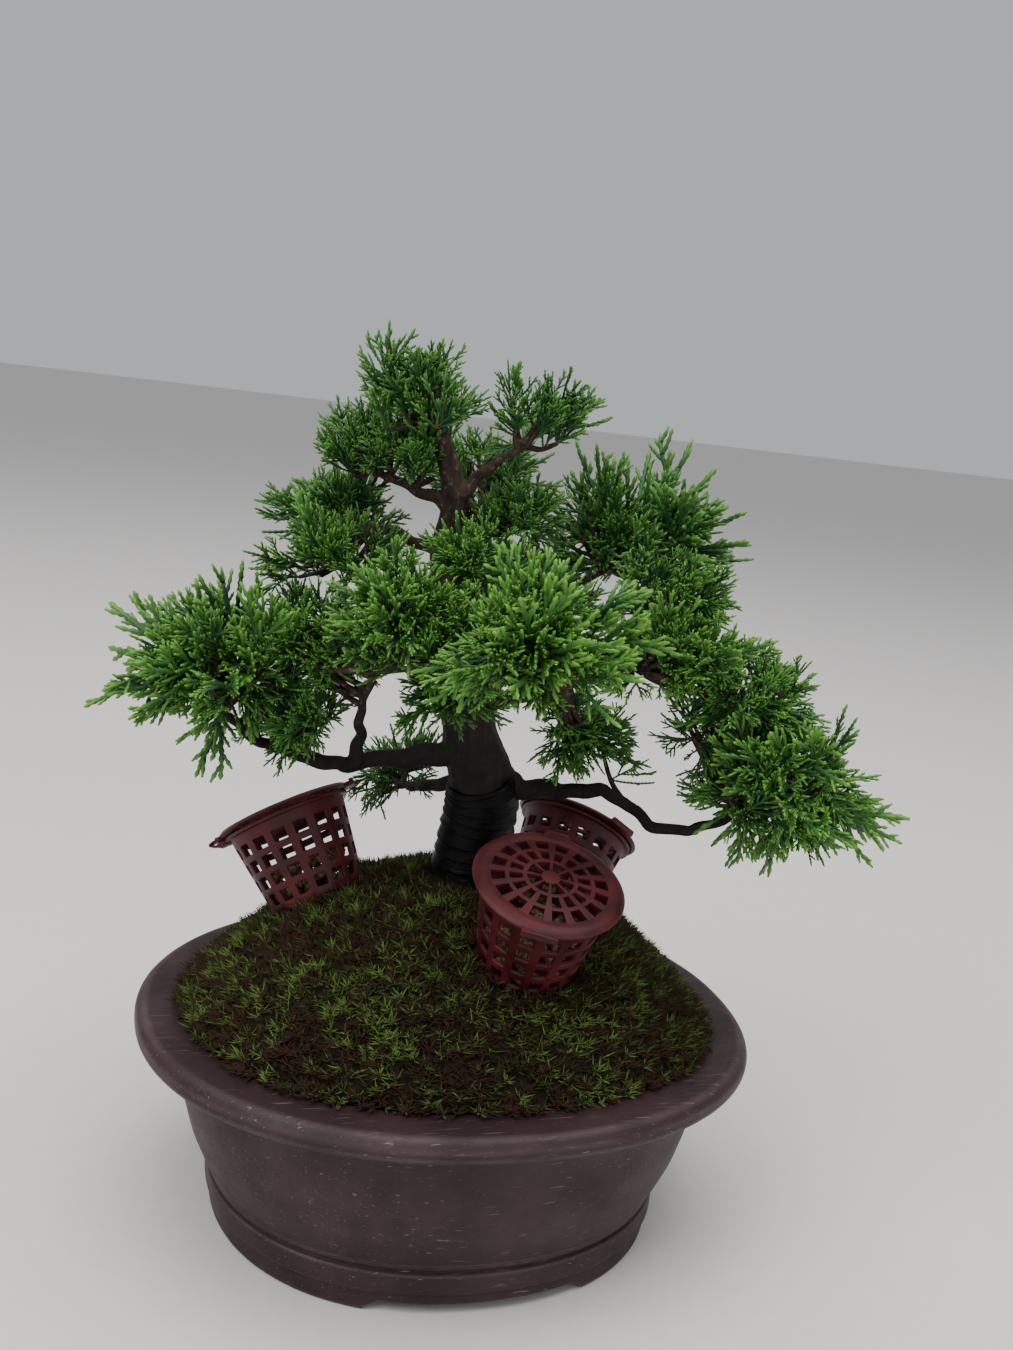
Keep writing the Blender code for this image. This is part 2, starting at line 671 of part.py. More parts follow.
def seat_cutter(name, matrix):
    """The dent that a basket's foot presses into the moss."""
    bm = bmesh.new()
    reach = 12.0
    wide = (cup_radius(reach) - cup_radius(0)) / reach
    bmesh.ops.create_cone(bm, cap_ends=True, segments=24, radius1=CUP_FOOT_RADIUS + 2 * CLEARANCE,
                          radius2=cup_radius(reach) + 2 * CLEARANCE, depth=reach)
    bmesh.ops.translate(bm, vec=(0, 0, reach / 2 - CLEARANCE * (1 + wide)), verts=bm.verts)
    cutter = add(f"seat_{name}", to_mesh(f"seat_{name}", bm))
    cutter.matrix_world = matrix
    return cutter


def empty(name, parent=None):
    obj = bpy.data.objects.new(name, None)
    obj.empty_display_size = 5 * MM
    PARTS.objects.link(obj)
    obj.parent = parent
    return obj


def make_baskets():
    cup, lid, heap = cup_mesh(), lid_mesh(), heap_mesh()
    for name, matrix in SEAT_PLACES.items():
        stand = empty(f"stand_{name}")
        stand.matrix_world = matrix
        hinge = empty(f"hinge_{name}", stand)
        hinge.location = (0, (LID_RADIUS + HINGE_REACH) * MM, (CUP_HEIGHT + CLEARANCE / 2) * MM)
        for mesh in (cup, lid, heap):
            mesh.shade_smooth()
            mesh.set_sharp_from_angle(angle=math.radians(30))
        add(f"basket_{name}", cup.copy(), "maroon_plastic", stand)
        add(f"fertiliser_{name}", heap.copy(), "fertiliser", stand)
        add(f"lid_{name}", lid.copy(), "maroon_plastic", hinge)


clear_scene()
PARTS = new_collection("juniper_bonsai")
CUTTERS = new_collection("cutters")
SEAT_PLACES = {name: seat_matrix(*place) for name, place in BASKETS.items()}
SEATS = [seat_cutter(name, matrix) for name, matrix in SEAT_PLACES.items()]
WOOD_CLEARANCE = wood_mesh("wood_clearance", CLEARANCE + 0.1)
make_pot()
make_screens()
make_soil()
make_moss()
make_tree()
make_wrap()
make_baskets()
bpy.context.view_layer.update()
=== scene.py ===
"""Looks of a small juniper bonsai: stoneware pot, moss, bark, scale-leaved shoots and baskets."""

import json
import math

import bmesh
import bpy
import numpy as np
from mathutils import Matrix, Vector, noise


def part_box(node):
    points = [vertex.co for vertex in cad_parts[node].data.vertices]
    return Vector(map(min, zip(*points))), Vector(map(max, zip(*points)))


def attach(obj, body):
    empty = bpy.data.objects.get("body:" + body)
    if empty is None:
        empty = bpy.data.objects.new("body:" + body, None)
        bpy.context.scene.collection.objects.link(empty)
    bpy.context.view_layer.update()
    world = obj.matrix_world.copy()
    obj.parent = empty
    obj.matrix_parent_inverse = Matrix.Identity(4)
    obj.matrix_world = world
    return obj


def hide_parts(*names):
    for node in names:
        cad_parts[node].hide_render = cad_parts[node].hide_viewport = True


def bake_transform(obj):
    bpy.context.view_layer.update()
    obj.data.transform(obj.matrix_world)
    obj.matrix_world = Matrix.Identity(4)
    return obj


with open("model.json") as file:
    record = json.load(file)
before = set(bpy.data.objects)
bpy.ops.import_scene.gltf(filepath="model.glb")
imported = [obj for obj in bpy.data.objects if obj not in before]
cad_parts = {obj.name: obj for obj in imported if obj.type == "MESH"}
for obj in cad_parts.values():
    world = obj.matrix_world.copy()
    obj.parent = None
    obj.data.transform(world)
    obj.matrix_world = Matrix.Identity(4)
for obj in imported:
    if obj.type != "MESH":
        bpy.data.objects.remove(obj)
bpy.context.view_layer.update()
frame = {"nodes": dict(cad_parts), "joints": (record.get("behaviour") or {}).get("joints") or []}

MM = 0.001
ROOT = "planted_pot"
RNG = np.random.default_rng(20)


# ---------------------------------------------------------------- sizes, in millimetres

def span(node):
    """Lowest and highest corner of a CAD node in millimetres."""
    low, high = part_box(node)
    return np.array(low) / MM, np.array(high) / MM


POT_LOW, POT_HIGH = span("pot")
POT_LENGTH, POT_DEPTH, POT_HEIGHT = POT_HIGH - POT_LOW
LIP_WIDTH = 13.5
LIP_THICKNESS = 7.0
BASE_INSET = 22.0
BASE_ROUNDING = 7.5
WALL = 4.0
FLOOR = 5.0
FOOT_HEIGHT = 6.5
FOOT_WIDTH = 6.3
FOOT_GAP_WIDTH = 54.0
FOOT_GAP_HEIGHT = 2.8
OVAL_POWER = 2.16
POT_SEGMENTS = 192
DRAIN_RADIUS = 6.0
CORNER_RADIUS = 1.5

MOUND_EDGE = 56.5
MOUND_RISE = 29.0
MOUND_POWER = 2.5
TRUNK_FOOT = np.array((5.0, 17.0))
ROOT_FLARE = 10.2
MOSS_TUFTS = 4200          # in each of the two moss pieces
BLADES_A_TUFT = 11
SOIL_CRUMBS = 260
TAPE_PITCH = 3.4
TAPE_ABOVE = 7.0           # how far the tape goes on above its CAD node
WOOD_DETAIL = 0.47         # size of the smallest ridge of bark
DARKENING_TOP = 148.0           # height over the table above which the bark is not darkened
# how far below that height the darkening fades in
DARKENING_FADE = 22.0

CUP_HEIGHT = 25.0
CUP_TOP_RADIUS = 16.8
CUP_FOOT_RADIUS = 13.0
CUP_WALL = 1.0
RIM_WIDTH = 1.2
CUP_COLUMNS = 16
CUP_ROWS = 4
HOLE_HEIGHT = 3.2
HOLE_BAR = 1.9
FOOT_BAND = 2.4
LID_RADIUS = 18.5
LID_THICKNESS = 1.2
LID_DOME = 1.6
LATCH_WIDTH = 9.0
LATCH_REACH = 2.4
HINGE_WIDTH = 7.0
HINGE_REACH = 1.6
LID_GAP = 0.3
STRAP_THICKNESS = 0.44
PELLETS_A_CUP = 46
ARC_STEPS = 4              # straight steps in the width of one hole or bar
BAR_SHARE = 0.38           # how much of the way round is bar

# lean, heading of the lean and heading of the hinge of each basket, in degrees
BASKETS = {
    "front": (20.0, -85.0, 70.0),
    "left": (36.0, 131.0, 163.0),
    "rear": (40.0, 45.0, 100.0),
}

TRUNK_LINE = [
    ((5, 17, 58), 5.0), ((6, 17, 72), 9.6), ((6.5, 17, 84), ROOT_FLARE - 0.9), ((7, 16, 96), 9.0),
    ((7, 14, 110), 8.7), ((2, 12, 124), 7.6), ((-3, 11, 140), 6.2), ((-8, 11, 161), 4.8),
    ((-11, 11, 176), 4.0), ((-11, 9, 190), 3.2), ((-16, 8, 204), 2.0), ((-20, 6, 217), 1.1),
]
BRANCHES = {
    "apex_right": [((-11, 9, 189), 2.4), ((-5, 3, 198), 1.9), ((3, 0, 205), 1.2)],
    "apex_left": [((-11, 10, 187), 2.4), ((-20, 12, 191), 2.0), ((-32, 18, 194), 1.2)],
    "left": [((0, 13, 121), 4.4), ((-23, 15, 118), 3.8), ((-36, 13, 117), 3.4),
             ((-49, 12, 121), 2.8), ((-60, 9, 126), 2.2), ((-69, 10, 138), 1.4)],
    "left_inner": [((-29, 14, 118), 2.2), ((-31, 4, 133), 1.9), ((-31, -7, 149), 1.2)],
    "rear_low": [((2, 17, 112), 2.8), ((-5, 31, 106), 2.4), ((-9, 46, 101), 1.4)],
    "right": [((8, 13, 114), 4.2), ((26, 6, 113), 3.5), ((37, -3, 116), 3.0),
              ((46, -14, 111), 2.6), ((56, -23, 113), 2.2), ((67, -29, 124), 1.3)],
    "upper_right": [((-5, 11, 150), 3.2), ((14, 14, 162), 2.5), ((36, 13, 175), 1.4)],
    "right_inner": [((-2, 12, 134), 3.2), ((19, 2, 143), 2.6), ((36, -11, 153), 1.4)],
    "centre": [((-2, 11, 137), 3.2), ((-5, -12, 144), 2.6), ((-4, -34, 153), 1.4)],
    "upper_left": [((-11, 11, 175), 2.4), ((-22, 21, 178), 1.9), ((-34, 31, 180), 1.2)],
    "rear": [((0, 12, 146), 3.0), ((10, 30, 151), 2.4), ((20, 46, 156), 1.4)],
    "rear_upper": [((-9, 11, 170), 2.2), ((-2, 26, 178), 1.8), ((4, 34, 184), 1.2)],
}
# For each pad: the branches that carry it, how many twigs, how far the shoots turn upwards, and
# how bright the new growth is. The first eleven stand for a CAD pad; the others grow in between
PADS = {
    "apex": (("apex_left", "trunk"), 14, 1.5, 0.35),
    "upper_left": (("upper_left",), 15, 0.7, 0.25),
    "upper_right": (("upper_right",), 28, 0.8, 0.35),
    "left": (("left",), 30, 0.2, 0.6),
    "left_inner": (("left_inner",), 22, 0.5, 0.7),
    "centre": (("centre",), 29, 0.4, 0.75),
    "right_inner": (("right_inner",), 24, 0.5, 0.7),
    "right": (("right",), 32, 0.15, 0.65),
    "rear": (("rear",), 22, 0.6, 0.35),
    "rear_upper": (("rear_upper",), 15, 0.8, 0.35),
    "rear_low": (("rear_low",), 11, 0.3, 0.3),
    "apex_fan": (("apex_right",), 7, 1.3, 0.3),
    "crown_foot": (("apex_left", "upper_left"), 9, 1.0, 0.3),
    "crown_right": (("upper_right", "trunk"), 10, 0.8, 0.3),
    "shoulder_left": (("left_inner", "upper_left"), 15, 0.7, 0.6),
    "front_veil": (("centre", "left_inner"), 14, 0.4, 0.8),
    "front_crown": (("left_inner", "trunk"), 10, 0.8, 0.7),
    "apex_skirt": (("upper_left", "apex_left"), 8, 1.4, 0.3),
    "under_left": (("left", "left_inner"), 17, 0.4, 0.5),
    "low_left": (("left",), 12, 0.1, 0.3),
    "low_middle": (("left", "centre"), 10, 0.0, 0.3),
    "low_right": (("right", "right_inner"), 15, 0.0, 0.4),
    "right_drop": (("right",), 12, 0.0, 0.5),
    "shoulder_right": (("right_inner",), 14, 0.6, 0.5),
    "right_top": (("right", "right_inner"), 16, 0.5, 0.55),
}
# Middle and half sizes, in millimetres, of the growth that has no CAD pad, and of four pads whose
# shoots fill a slightly different space from the plain solid that stands for them
SPACES = {
    "apex": ((-23, 8, 209), (21, 19, 20)),
    "upper_left": ((-37, 33, 178), (19, 16, 12)),
    "left": ((-65, 11, 141), (26, 24, 18)),
    "apex_fan": ((5, 0, 208), (19, 14, 16)),
    "crown_foot": ((-21, 12, 197), (15, 13, 14)),
    "crown_right": ((9, 8, 184), (13, 12, 11)),
    "shoulder_left": ((-40, 15, 168), (17, 12, 13)),
    "centre": ((-3, -43, 161), (25, 19, 19)),
    "front_veil": ((-15, -20, 155), (16, 10, 19)),
    "front_crown": ((-9, -5, 173), (15, 10, 11)),
    "apex_skirt": ((-35, 20, 196), (11, 11, 15)),
    "under_left": ((-45, 9, 149), (15, 13, 15)),
    "low_left": ((-43, 7, 130), (13, 10, 10)),
    "low_middle": ((-12, -9, 141), (13, 9, 9)),
    "low_right": ((30, 8, 128), (17, 8, 9)),
    "right_drop": ((56, -14, 135), (11, 10, 14)),
    "shoulder_right": ((42, -14, 171), (17, 13, 9)),
    "right_top": ((62, -27, 148), (15, 13, 12)),
}
SPRAY_LENGTH = 22.0
SPRAYS_A_TWIG = 3
SPRAY_KINDS = 14
SHOOT_RADIUS = (0.46, 0.54)
SPUR_RADIUS = 0.43
LEAF_PAIR = 0.85               # length of shoot that one pair of scale leaves covers
NEW_GROWTH = 4.8               # length of a tip that is still bright
GOLDEN_ANGLE = 2.399963        # spreads directions evenly round a pad

CAMERA_PLACE = (-96.5, -315.6, 214.0)
CAMERA_TURN = (17.9, 11.55, 6.8)      # heading, dip and roll in degrees


# ---------------------------------------------------------------- meshes

def piece(name, verts, faces, material, body=ROOT, smooth=True, **attributes):
    """A mesh piece from arrays in millimetres, riding a body."""
    verts = np.asarray(verts, np.float32) * MM
    faces = np.asarray(faces, np.int32)
    count, corners = faces.shape
    mesh = bpy.data.meshes.new(name)
    mesh.vertices.add(len(verts))
    mesh.vertices.foreach_set("co", verts.ravel())
    mesh.loops.add(count * corners)
    mesh.loops.foreach_set("vertex_index", faces.ravel())
    mesh.polygons.add(count)
    mesh.polygons.foreach_set("loop_start", np.arange(count, dtype=np.int32) * corners)
    mesh.update(calc_edges=True)
    for key, values in attributes.items():
        layer = mesh.attributes.new(key, "FLOAT", "POINT")
        layer.data.foreach_set("value", np.asarray(values, np.float32))
    if smooth:
        mesh.shade_smooth()
    return show(name, mesh, material, body)


def show(name, mesh, material, body=ROOT):
    """A mesh as an object with one material, riding a body if one is given."""
    obj = bpy.data.objects.new(name, mesh)
    bpy.context.scene.collection.objects.link(obj)
    mesh.materials.clear()
    mesh.materials.append(material)
    if body:
        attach(obj, body)
    return obj


def merge(parts):
    """One set of arrays from several (verts, faces, *attributes)."""
    shift = np.cumsum([0] + [len(p[0]) for p in parts[:-1]])
    faces = np.vstack([p[1] + s for p, s in zip(parts, shift)])
    columns = [np.concatenate([p[i] for p in parts]) for i in range(len(parts[0])) if i != 1]
    return (columns[0], faces, *columns[1:])


def ring_faces(rings, around, closed=False):
    """Quads between rings of equal length; closed joins the last ring to the first."""
    rows = np.arange(rings if closed else rings - 1)
    i = np.arange(around)
    j = (i + 1) % around
    low = rows[:, None] * around
    high = ((rows + 1) % rings)[:, None] * around
    return np.stack([low + i, low + j, high + j, high + i], axis=-1).reshape(-1, 4)


def end_fans(rings, around):
    """Triangles from the first and the last ring to the two middle points that follow them."""
    i = np.arange(around)
    j = (i + 1) % around
    last = (rings - 1) * around
    middle = np.full(around, rings * around)
    return np.vstack([np.stack([j, i, middle], 1), np.stack([last + i, last + j, middle + 1], 1)])


def smooth_line(points, steps):
    """Places and radii along a Catmull-Rom curve through the given points."""
    line = [(np.array(p, float), r) for p, r in points]
    line = [line[0]] + line + [line[-1]]
    out = []
    for a, b, c, d in zip(line, line[1:], line[2:], line[3:]):
        for t in np.arange(steps) / steps:
            place = (
                (-0.5 * t + t * t - 0.5 * t ** 3) * a[0]
                + (1 - 2.5 * t * t + 1.5 * t ** 3) * b[0]
                + (0.5 * t + 2 * t * t - 1.5 * t ** 3) * c[0]
                + (-0.5 * t * t + 0.5 * t ** 3) * d[0]
            )
            out.append((place, b[1] + (c[1] - b[1]) * t))
    out.append(line[-1])
    return np.array([p for p, _ in out]), np.array([r for _, r in out])


def even_line(places, radii, step):
    """The same line with its points at equal steps."""
    run = np.concatenate([[0], np.cumsum(np.linalg.norm(np.diff(places, axis=0), axis=1))])
    at = np.linspace(0, run[-1], max(3, int(run[-1] / step) + 1))
    spots = np.stack([np.interp(at, run, places[:, k]) for k in range(3)], axis=1)
    return spots, np.interp(at, run, radii), at


def cross_frames(places):
    """Two directions across a line at each of its points, turning as little as they can."""
    along = np.gradient(places, axis=0)
    along /= np.linalg.norm(along, axis=1)[:, None]
    side = np.cross(along[0], (0.31, 0.52, 0.12))
    sides = []
    for direction in along:
        side = side - side.dot(direction) * direction
        side = side / np.linalg.norm(side)
        sides.append(side)
    sides = np.array(sides)
    return sides, np.cross(along, sides)


def tube(places, radii, around, relief=None):
    """A closed tube along a line. relief gives the surface's height at (ring, angle)."""
    sides, ups = cross_frames(places)
    angle = 2 * np.pi * np.arange(around) / around
    reach = np.repeat(np.asarray(radii, float)[:, None], around, axis=1)
    if relief is not None:
        reach = reach + relief
    out = np.cos(angle)[None, :, None] * sides[:, None] + np.sin(angle)[None, :, None] * ups[:, None]
    rings = places[:, None] + reach[..., None] * out
    verts = np.vstack([rings.reshape(-1, 3), places[:1], places[-1:]])
    quads = ring_faces(len(places), around)
    return verts, np.vstack([quads[:, [0, 1, 2]], quads[:, [0, 2, 3]], end_fans(len(places), around)])


def modifier(obj, kind, **settings):
    """Put a modifier with these settings on an object."""
    made = obj.modifiers.new(kind.lower(), kind)
    for key, value in settings.items():
        setattr(made, key, value)
    return made


def applied(obj):
    """Bake an object's modifiers into its mesh."""
    graph = bpy.context.evaluated_depsgraph_get()
    graph.update()
    mesh = bpy.data.meshes.new_from_object(obj.evaluated_get(graph))
    obj.modifiers.clear()
    obj.data = mesh
    return mesh


# ---------------------------------------------------------------- materials

def linear(code):
    """An sRGB hex colour as linear red, green, blue and alpha."""
    parts = [int(code[k:k + 2], 16) / 255 for k in (1, 3, 5)]
    return [c / 12.92 if c <= 0.04045 else ((c + 0.055) / 1.055) ** 2.4 for c in parts] + [1.0]


def per(size):
    """Texture scale that makes a pattern repeat about once in size millimetres."""
    return 1 / (size * MM)


def add(tree, kind, inputs=None, **settings):
    """A node with its settings; each input is a value or a socket to link from."""
    made = tree.nodes.new(kind)
    for key, value in settings.items():
        setattr(made, key, value)
    for key, value in (inputs or {}).items():
        if isinstance(value, bpy.types.NodeSocket):
            tree.links.new(value, made.inputs[key])
        else:
            made.inputs[key].default_value = value
    return made


def surface(name, **sockets):
    """A Principled material with its constant sockets set, and object coordinates to build on."""
    material = bpy.data.materials.new(name)
    material.use_nodes = True
    tree = material.node_tree
    shader = tree.nodes["Principled BSDF"]
    for key, value in sockets.items():
        shader.inputs[key.replace("_", " ")].default_value = value
    place = add(tree, "ShaderNodeTexCoord").outputs["Object"]
    return material, tree, shader, place


def finish_surface(tree, shader, colour, roughness=None, height=None, depth=0.1, strength=0.5):
    """Link colour, roughness and a relief of depth millimetres to the shader."""
    tree.links.new(colour, shader.inputs["Base Color"])
    if roughness is not None:
        tree.links.new(roughness, shader.inputs["Roughness"])
    if height is not None:
        bump = add(tree, "ShaderNodeBump", {"Height": height, "Strength": strength,
                                            "Distance": depth * MM})
        tree.links.new(bump.outputs[0], shader.inputs["Normal"])


def stoneware():
    """Unglazed stoneware, fired dark: matte, with fine grit, cloudy tone and pale rubbed marks."""
    material, tree, shader, place = surface("unglazed_stoneware", IOR=1.5,
                                            Specular_IOR_Level=0.3)
    cloud = add(tree, "ShaderNodeTexNoise", {"Vector": place, "Scale": per(24), "Detail": 5.0,
                                             "Roughness": 0.6})
    tone = add(tree, "ShaderNodeMapRange", {0: cloud.outputs[0], 1: 0.35, 2: 0.68})
    clay = add(tree, "ShaderNodeMix", {0: tone.outputs[0], 6: linear("#271719"),
                                       7: linear("#39262a")}, data_type="RGBA")
    grit = add(tree, "ShaderNodeTexNoise", {"Vector": place, "Scale": per(0.9), "Detail": 2.0})
    speck = add(tree, "ShaderNodeMapRange", {0: grit.outputs[0], 1: 0.66, 2: 0.74, 4: 0.35})
    gritty = add(tree, "ShaderNodeMix", {0: speck.outputs[0], 6: clay.outputs[2],
                                         7: linear("#5c4e4b")}, data_type="RGBA")
    turned = add(tree, "ShaderNodeMapping", {"Vector": place, "Rotation": (0.4, 0.3, 0.7),
                                             "Scale": (0.25, 2.6, 2.6)})
    rub = add(tree, "ShaderNodeTexNoise", {"Vector": turned.outputs[0], "Scale": per(2.2),
                                           "Detail": 6.0, "Roughness": 0.72})
    scuff = add(tree, "ShaderNodeMapRange", {0: rub.outputs[0], 1: 0.58, 2: 0.72, 4: 0.55})
    patch = add(tree, "ShaderNodeTexNoise", {"Vector": place, "Scale": per(14), "Detail": 3.0})
    where = add(tree, "ShaderNodeMapRange", {0: patch.outputs[0], 1: 0.45, 2: 0.62})
    marks = add(tree, "ShaderNodeMath", {0: scuff.outputs[0], 1: where.outputs[0]},
                operation="MULTIPLY")
    crossed = add(tree, "ShaderNodeMapping", {"Vector": place, "Rotation": (0.2, 0.9, 2.1),
                                              "Scale": (0.06, 1.6, 1.6)})
    line = add(tree, "ShaderNodeTexNoise", {"Vector": crossed.outputs[0], "Scale": per(0.9),
                                            "Detail": 1.0})
    scratch = add(tree, "ShaderNodeMapRange", {0: line.outputs[0], 1: 0.71, 2: 0.76, 4: 0.6})
    marks = add(tree, "ShaderNodeMath", {0: marks.outputs[0], 1: scratch.outputs[0]},
                operation="ADD")
    edge = add(tree, "ShaderNodeAttribute", attribute_name="wear")
    worn = add(tree, "ShaderNodeMath", {0: edge.outputs["Fac"], 1: cloud.outputs[0]},
               operation="MULTIPLY")
    pale = add(tree, "ShaderNodeMath", {0: marks.outputs[0], 1: worn.outputs[0]},
               operation="ADD", use_clamp=True)
    colour = add(tree, "ShaderNodeMix", {0: pale.outputs[0], 6: gritty.outputs[2],
                                         7: linear("#7c686b")}, data_type="RGBA")
    rough = add(tree, "ShaderNodeMapRange", {0: cloud.outputs[0], 1: 0.3, 2: 0.7, 3: 0.62, 4: 0.46})
    finish_surface(tree, shader, colour.outputs[2], rough.outputs[0], grit.outputs[0], 0.12, 0.5)
    return material


def scale_leaves():
    """Juniper scale leaves: waxy deep green, with yellow-green new growth at the tips."""
    material, tree, shader, place = surface("juniper_scale_leaves", IOR=1.42, Roughness=0.5)
    age = add(tree, "ShaderNodeAttribute", attribute_name="tip")
    tone = add(tree, "ShaderNodeAttribute", attribute_name="tone")
    wood = add(tree, "ShaderNodeAttribute", attribute_name="woody")
    old = add(tree, "ShaderNodeMix", {0: tone.outputs["Fac"], 6: linear("#1a4224"),
                                      7: linear("#33652d")}, data_type="RGBA")
    fleck = add(tree, "ShaderNodeTexNoise", {"Vector": place, "Scale": per(1.1), "Detail": 1.0})
    fresh = add(tree, "ShaderNodeMix", {0: fleck.outputs[0], 6: linear("#4a8a2a"),
                                        7: linear("#86bb45")}, data_type="RGBA")
    green = add(tree, "ShaderNodeMix", {0: age.outputs["Fac"], 6: old.outputs[2],
                                        7: fresh.outputs[2]}, data_type="RGBA")
    colour = add(tree, "ShaderNodeMix", {0: wood.outputs["Fac"], 6: green.outputs[2],
                                         7: linear("#6d4a2c")}, data_type="RGBA")
    finish_surface(tree, shader, colour.outputs[2], None, fleck.outputs[0], 0.15, 0.4)
    return material


def bark():
    """Juniper bark: brown strips that weather grey at their edges, darkened towards near black lower
    down on the tree.
    """
    material, tree, shader, place = surface("juniper_bark", IOR=1.45)
    turned = add(tree, "ShaderNodeMapping", {"Vector": place, "Scale": (1.0, 1.0, 0.22)})
    strip = add(tree, "ShaderNodeTexNoise", {"Vector": turned.outputs[0], "Scale": per(1.8),
                                             "Detail": 5.0, "Roughness": 0.65})
    depth = add(tree, "ShaderNodeMapRange", {0: strip.outputs[0], 1: 0.36, 2: 0.62})
    brown = add(tree, "ShaderNodeMix", {0: depth.outputs[0], 6: linear("#17100d"),
                                        7: linear("#3f2d24")}, data_type="RGBA")
    patch = add(tree, "ShaderNodeTexNoise", {"Vector": place, "Scale": per(1.7), "Detail": 5.0,
                                             "Roughness": 0.7})
    flake = add(tree, "ShaderNodeMapRange", {0: patch.outputs[0], 1: 0.55, 2: 0.66, 4: 0.75})
    dry = add(tree, "ShaderNodeMix", {0: flake.outputs[0], 6: brown.outputs[2],
                                      7: linear("#6f625a")}, data_type="RGBA")
    # the bark is darkened towards near black lower down, by height alone
    low = add(tree, "ShaderNodeAttribute", attribute_name="low_darkening")
    darkened_share = add(tree, "ShaderNodeMath", {0: low.outputs["Fac"], 1: 0.92}, operation="MULTIPLY")
    colour = add(tree, "ShaderNodeMix", {0: darkened_share.outputs[0], 6: dry.outputs[2],
                                         7: linear("#0c0908")}, data_type="RGBA")
    rough = add(tree, "ShaderNodeMapRange", {0: strip.outputs[0], 3: 0.95, 4: 0.75})
    finish_surface(tree, shader, colour.outputs[2], rough.outputs[0], strip.outputs[0], 0.5, 0.7)
    return material


def black_tape():
    """Black PVC tape, stretched on by hand: slightly shiny, with fine pulled creases and dust."""
    material, tree, shader, place = surface("black_pvc_tape", IOR=1.52, Specular_IOR_Level=0.12)
    turned = add(tree, "ShaderNodeMapping", {"Vector": place, "Scale": (0.5, 0.5, 2.0)})
    crease = add(tree, "ShaderNodeTexNoise", {"Vector": turned.outputs[0], "Scale": per(1.6),
                                              "Detail": 4.0})
    dust = add(tree, "ShaderNodeTexNoise", {"Vector": place, "Scale": per(5), "Detail": 5.0})
    dusty = add(tree, "ShaderNodeMapRange", {0: dust.outputs[0], 1: 0.52, 2: 0.75, 4: 0.5})
    colour = add(tree, "ShaderNodeMix", {0: dusty.outputs[0], 6: linear("#070708"),
                                         7: linear("#141211")}, data_type="RGBA")
    rough = add(tree, "ShaderNodeMapRange", {0: dust.outputs[0], 1: 0.4, 2: 0.7, 3: 0.4, 4: 0.65})
    finish_surface(tree, shader, colour.outputs[2], rough.outputs[0], crease.outputs[0], 0.4, 0.6)
    return material


def moss_green():
    """Living moss shoots: bright where they grow, brown where they died back, and painted shade that
    darkens each blade towards near black at its foot.
    """
    material, tree, shader, _ = surface("moss_shoots", IOR=1.4, Roughness=0.75,
                                        Specular_IOR_Level=0.25)
    tone = add(tree, "ShaderNodeAttribute", attribute_name="tone")
    tip = add(tree, "ShaderNodeAttribute", attribute_name="tip")
    low = add(tree, "ShaderNodeMapRange", {0: tone.outputs["Fac"], 1: 0.1, 2: 0.55})
    high = add(tree, "ShaderNodeMapRange", {0: tone.outputs["Fac"], 1: 0.55, 2: 1.0})
    dead = add(tree, "ShaderNodeMix", {0: low.outputs[0], 6: linear("#3c2218"),
                                       7: linear("#262f10")}, data_type="RGBA")
    live = add(tree, "ShaderNodeMix", {0: high.outputs[0], 6: dead.outputs[2],
                                       7: linear("#678238")}, data_type="RGBA")
    # painted shade: each blade is darkened towards near black at its foot, among the crowded blades
    shade = add(tree, "ShaderNodeMapRange", {0: tip.outputs["Fac"], 3: 0.35, 4: 1.0})
    colour = add(tree, "ShaderNodeMix", {0: shade.outputs[0], 6: linear("#120d08"),
                                         7: live.outputs[2]}, data_type="RGBA")
    finish_surface(tree, shader, colour.outputs[2])
    return material


def moss_bed():
    """The bed under the shoots: dark wet crumbs of old moss and soil."""
    material, tree, shader, place = surface("moss_bed", IOR=1.4, Roughness=0.9,
                                            Specular_IOR_Level=0.2)
    crumb = add(tree, "ShaderNodeTexNoise", {"Vector": place, "Scale": per(2.2), "Detail": 6.0,
                                             "Roughness": 0.7})
    step = add(tree, "ShaderNodeMapRange", {0: crumb.outputs[0], 1: 0.4, 2: 0.62})
    colour = add(tree, "ShaderNodeMix", {0: step.outputs[0], 6: linear("#0d0906"),
                                         7: linear("#241c10")}, data_type="RGBA")
    finish_surface(tree, shader, colour.outputs[2], None, crumb.outputs[0], 0.8, 0.8)
    return material


def soil_grains():
    """Hard-fired clay grains and bark crumbs, damp and red-brown."""
    material, tree, shader, place = surface("clay_grain_soil", IOR=1.45)
    grain = add(tree, "ShaderNodeTexVoronoi", {"Vector": place, "Scale": per(2.4)})
    tint = add(tree, "ShaderNodeSeparateColor", {0: grain.outputs["Color"]})
    dust = add(tree, "ShaderNodeTexNoise", {"Vector": place, "Scale": per(1.0), "Detail": 3.0})
    base = add(tree, "ShaderNodeMix", {0: tint.outputs[0], 6: linear("#2a1a13"),
                                       7: linear("#523625")}, data_type="RGBA")
    colour = add(tree, "ShaderNodeMix", {0: dust.outputs[0], 6: linear("#1c120d"),
                                         7: base.outputs[2]}, data_type="RGBA")
    rough = add(tree, "ShaderNodeMapRange", {0: dust.outputs[0], 3: 0.95, 4: 0.7})
    finish_surface(tree, shader, colour.outputs[2], rough.outputs[0], grain.outputs["Distance"],
                   1.0, 0.8)
    return material


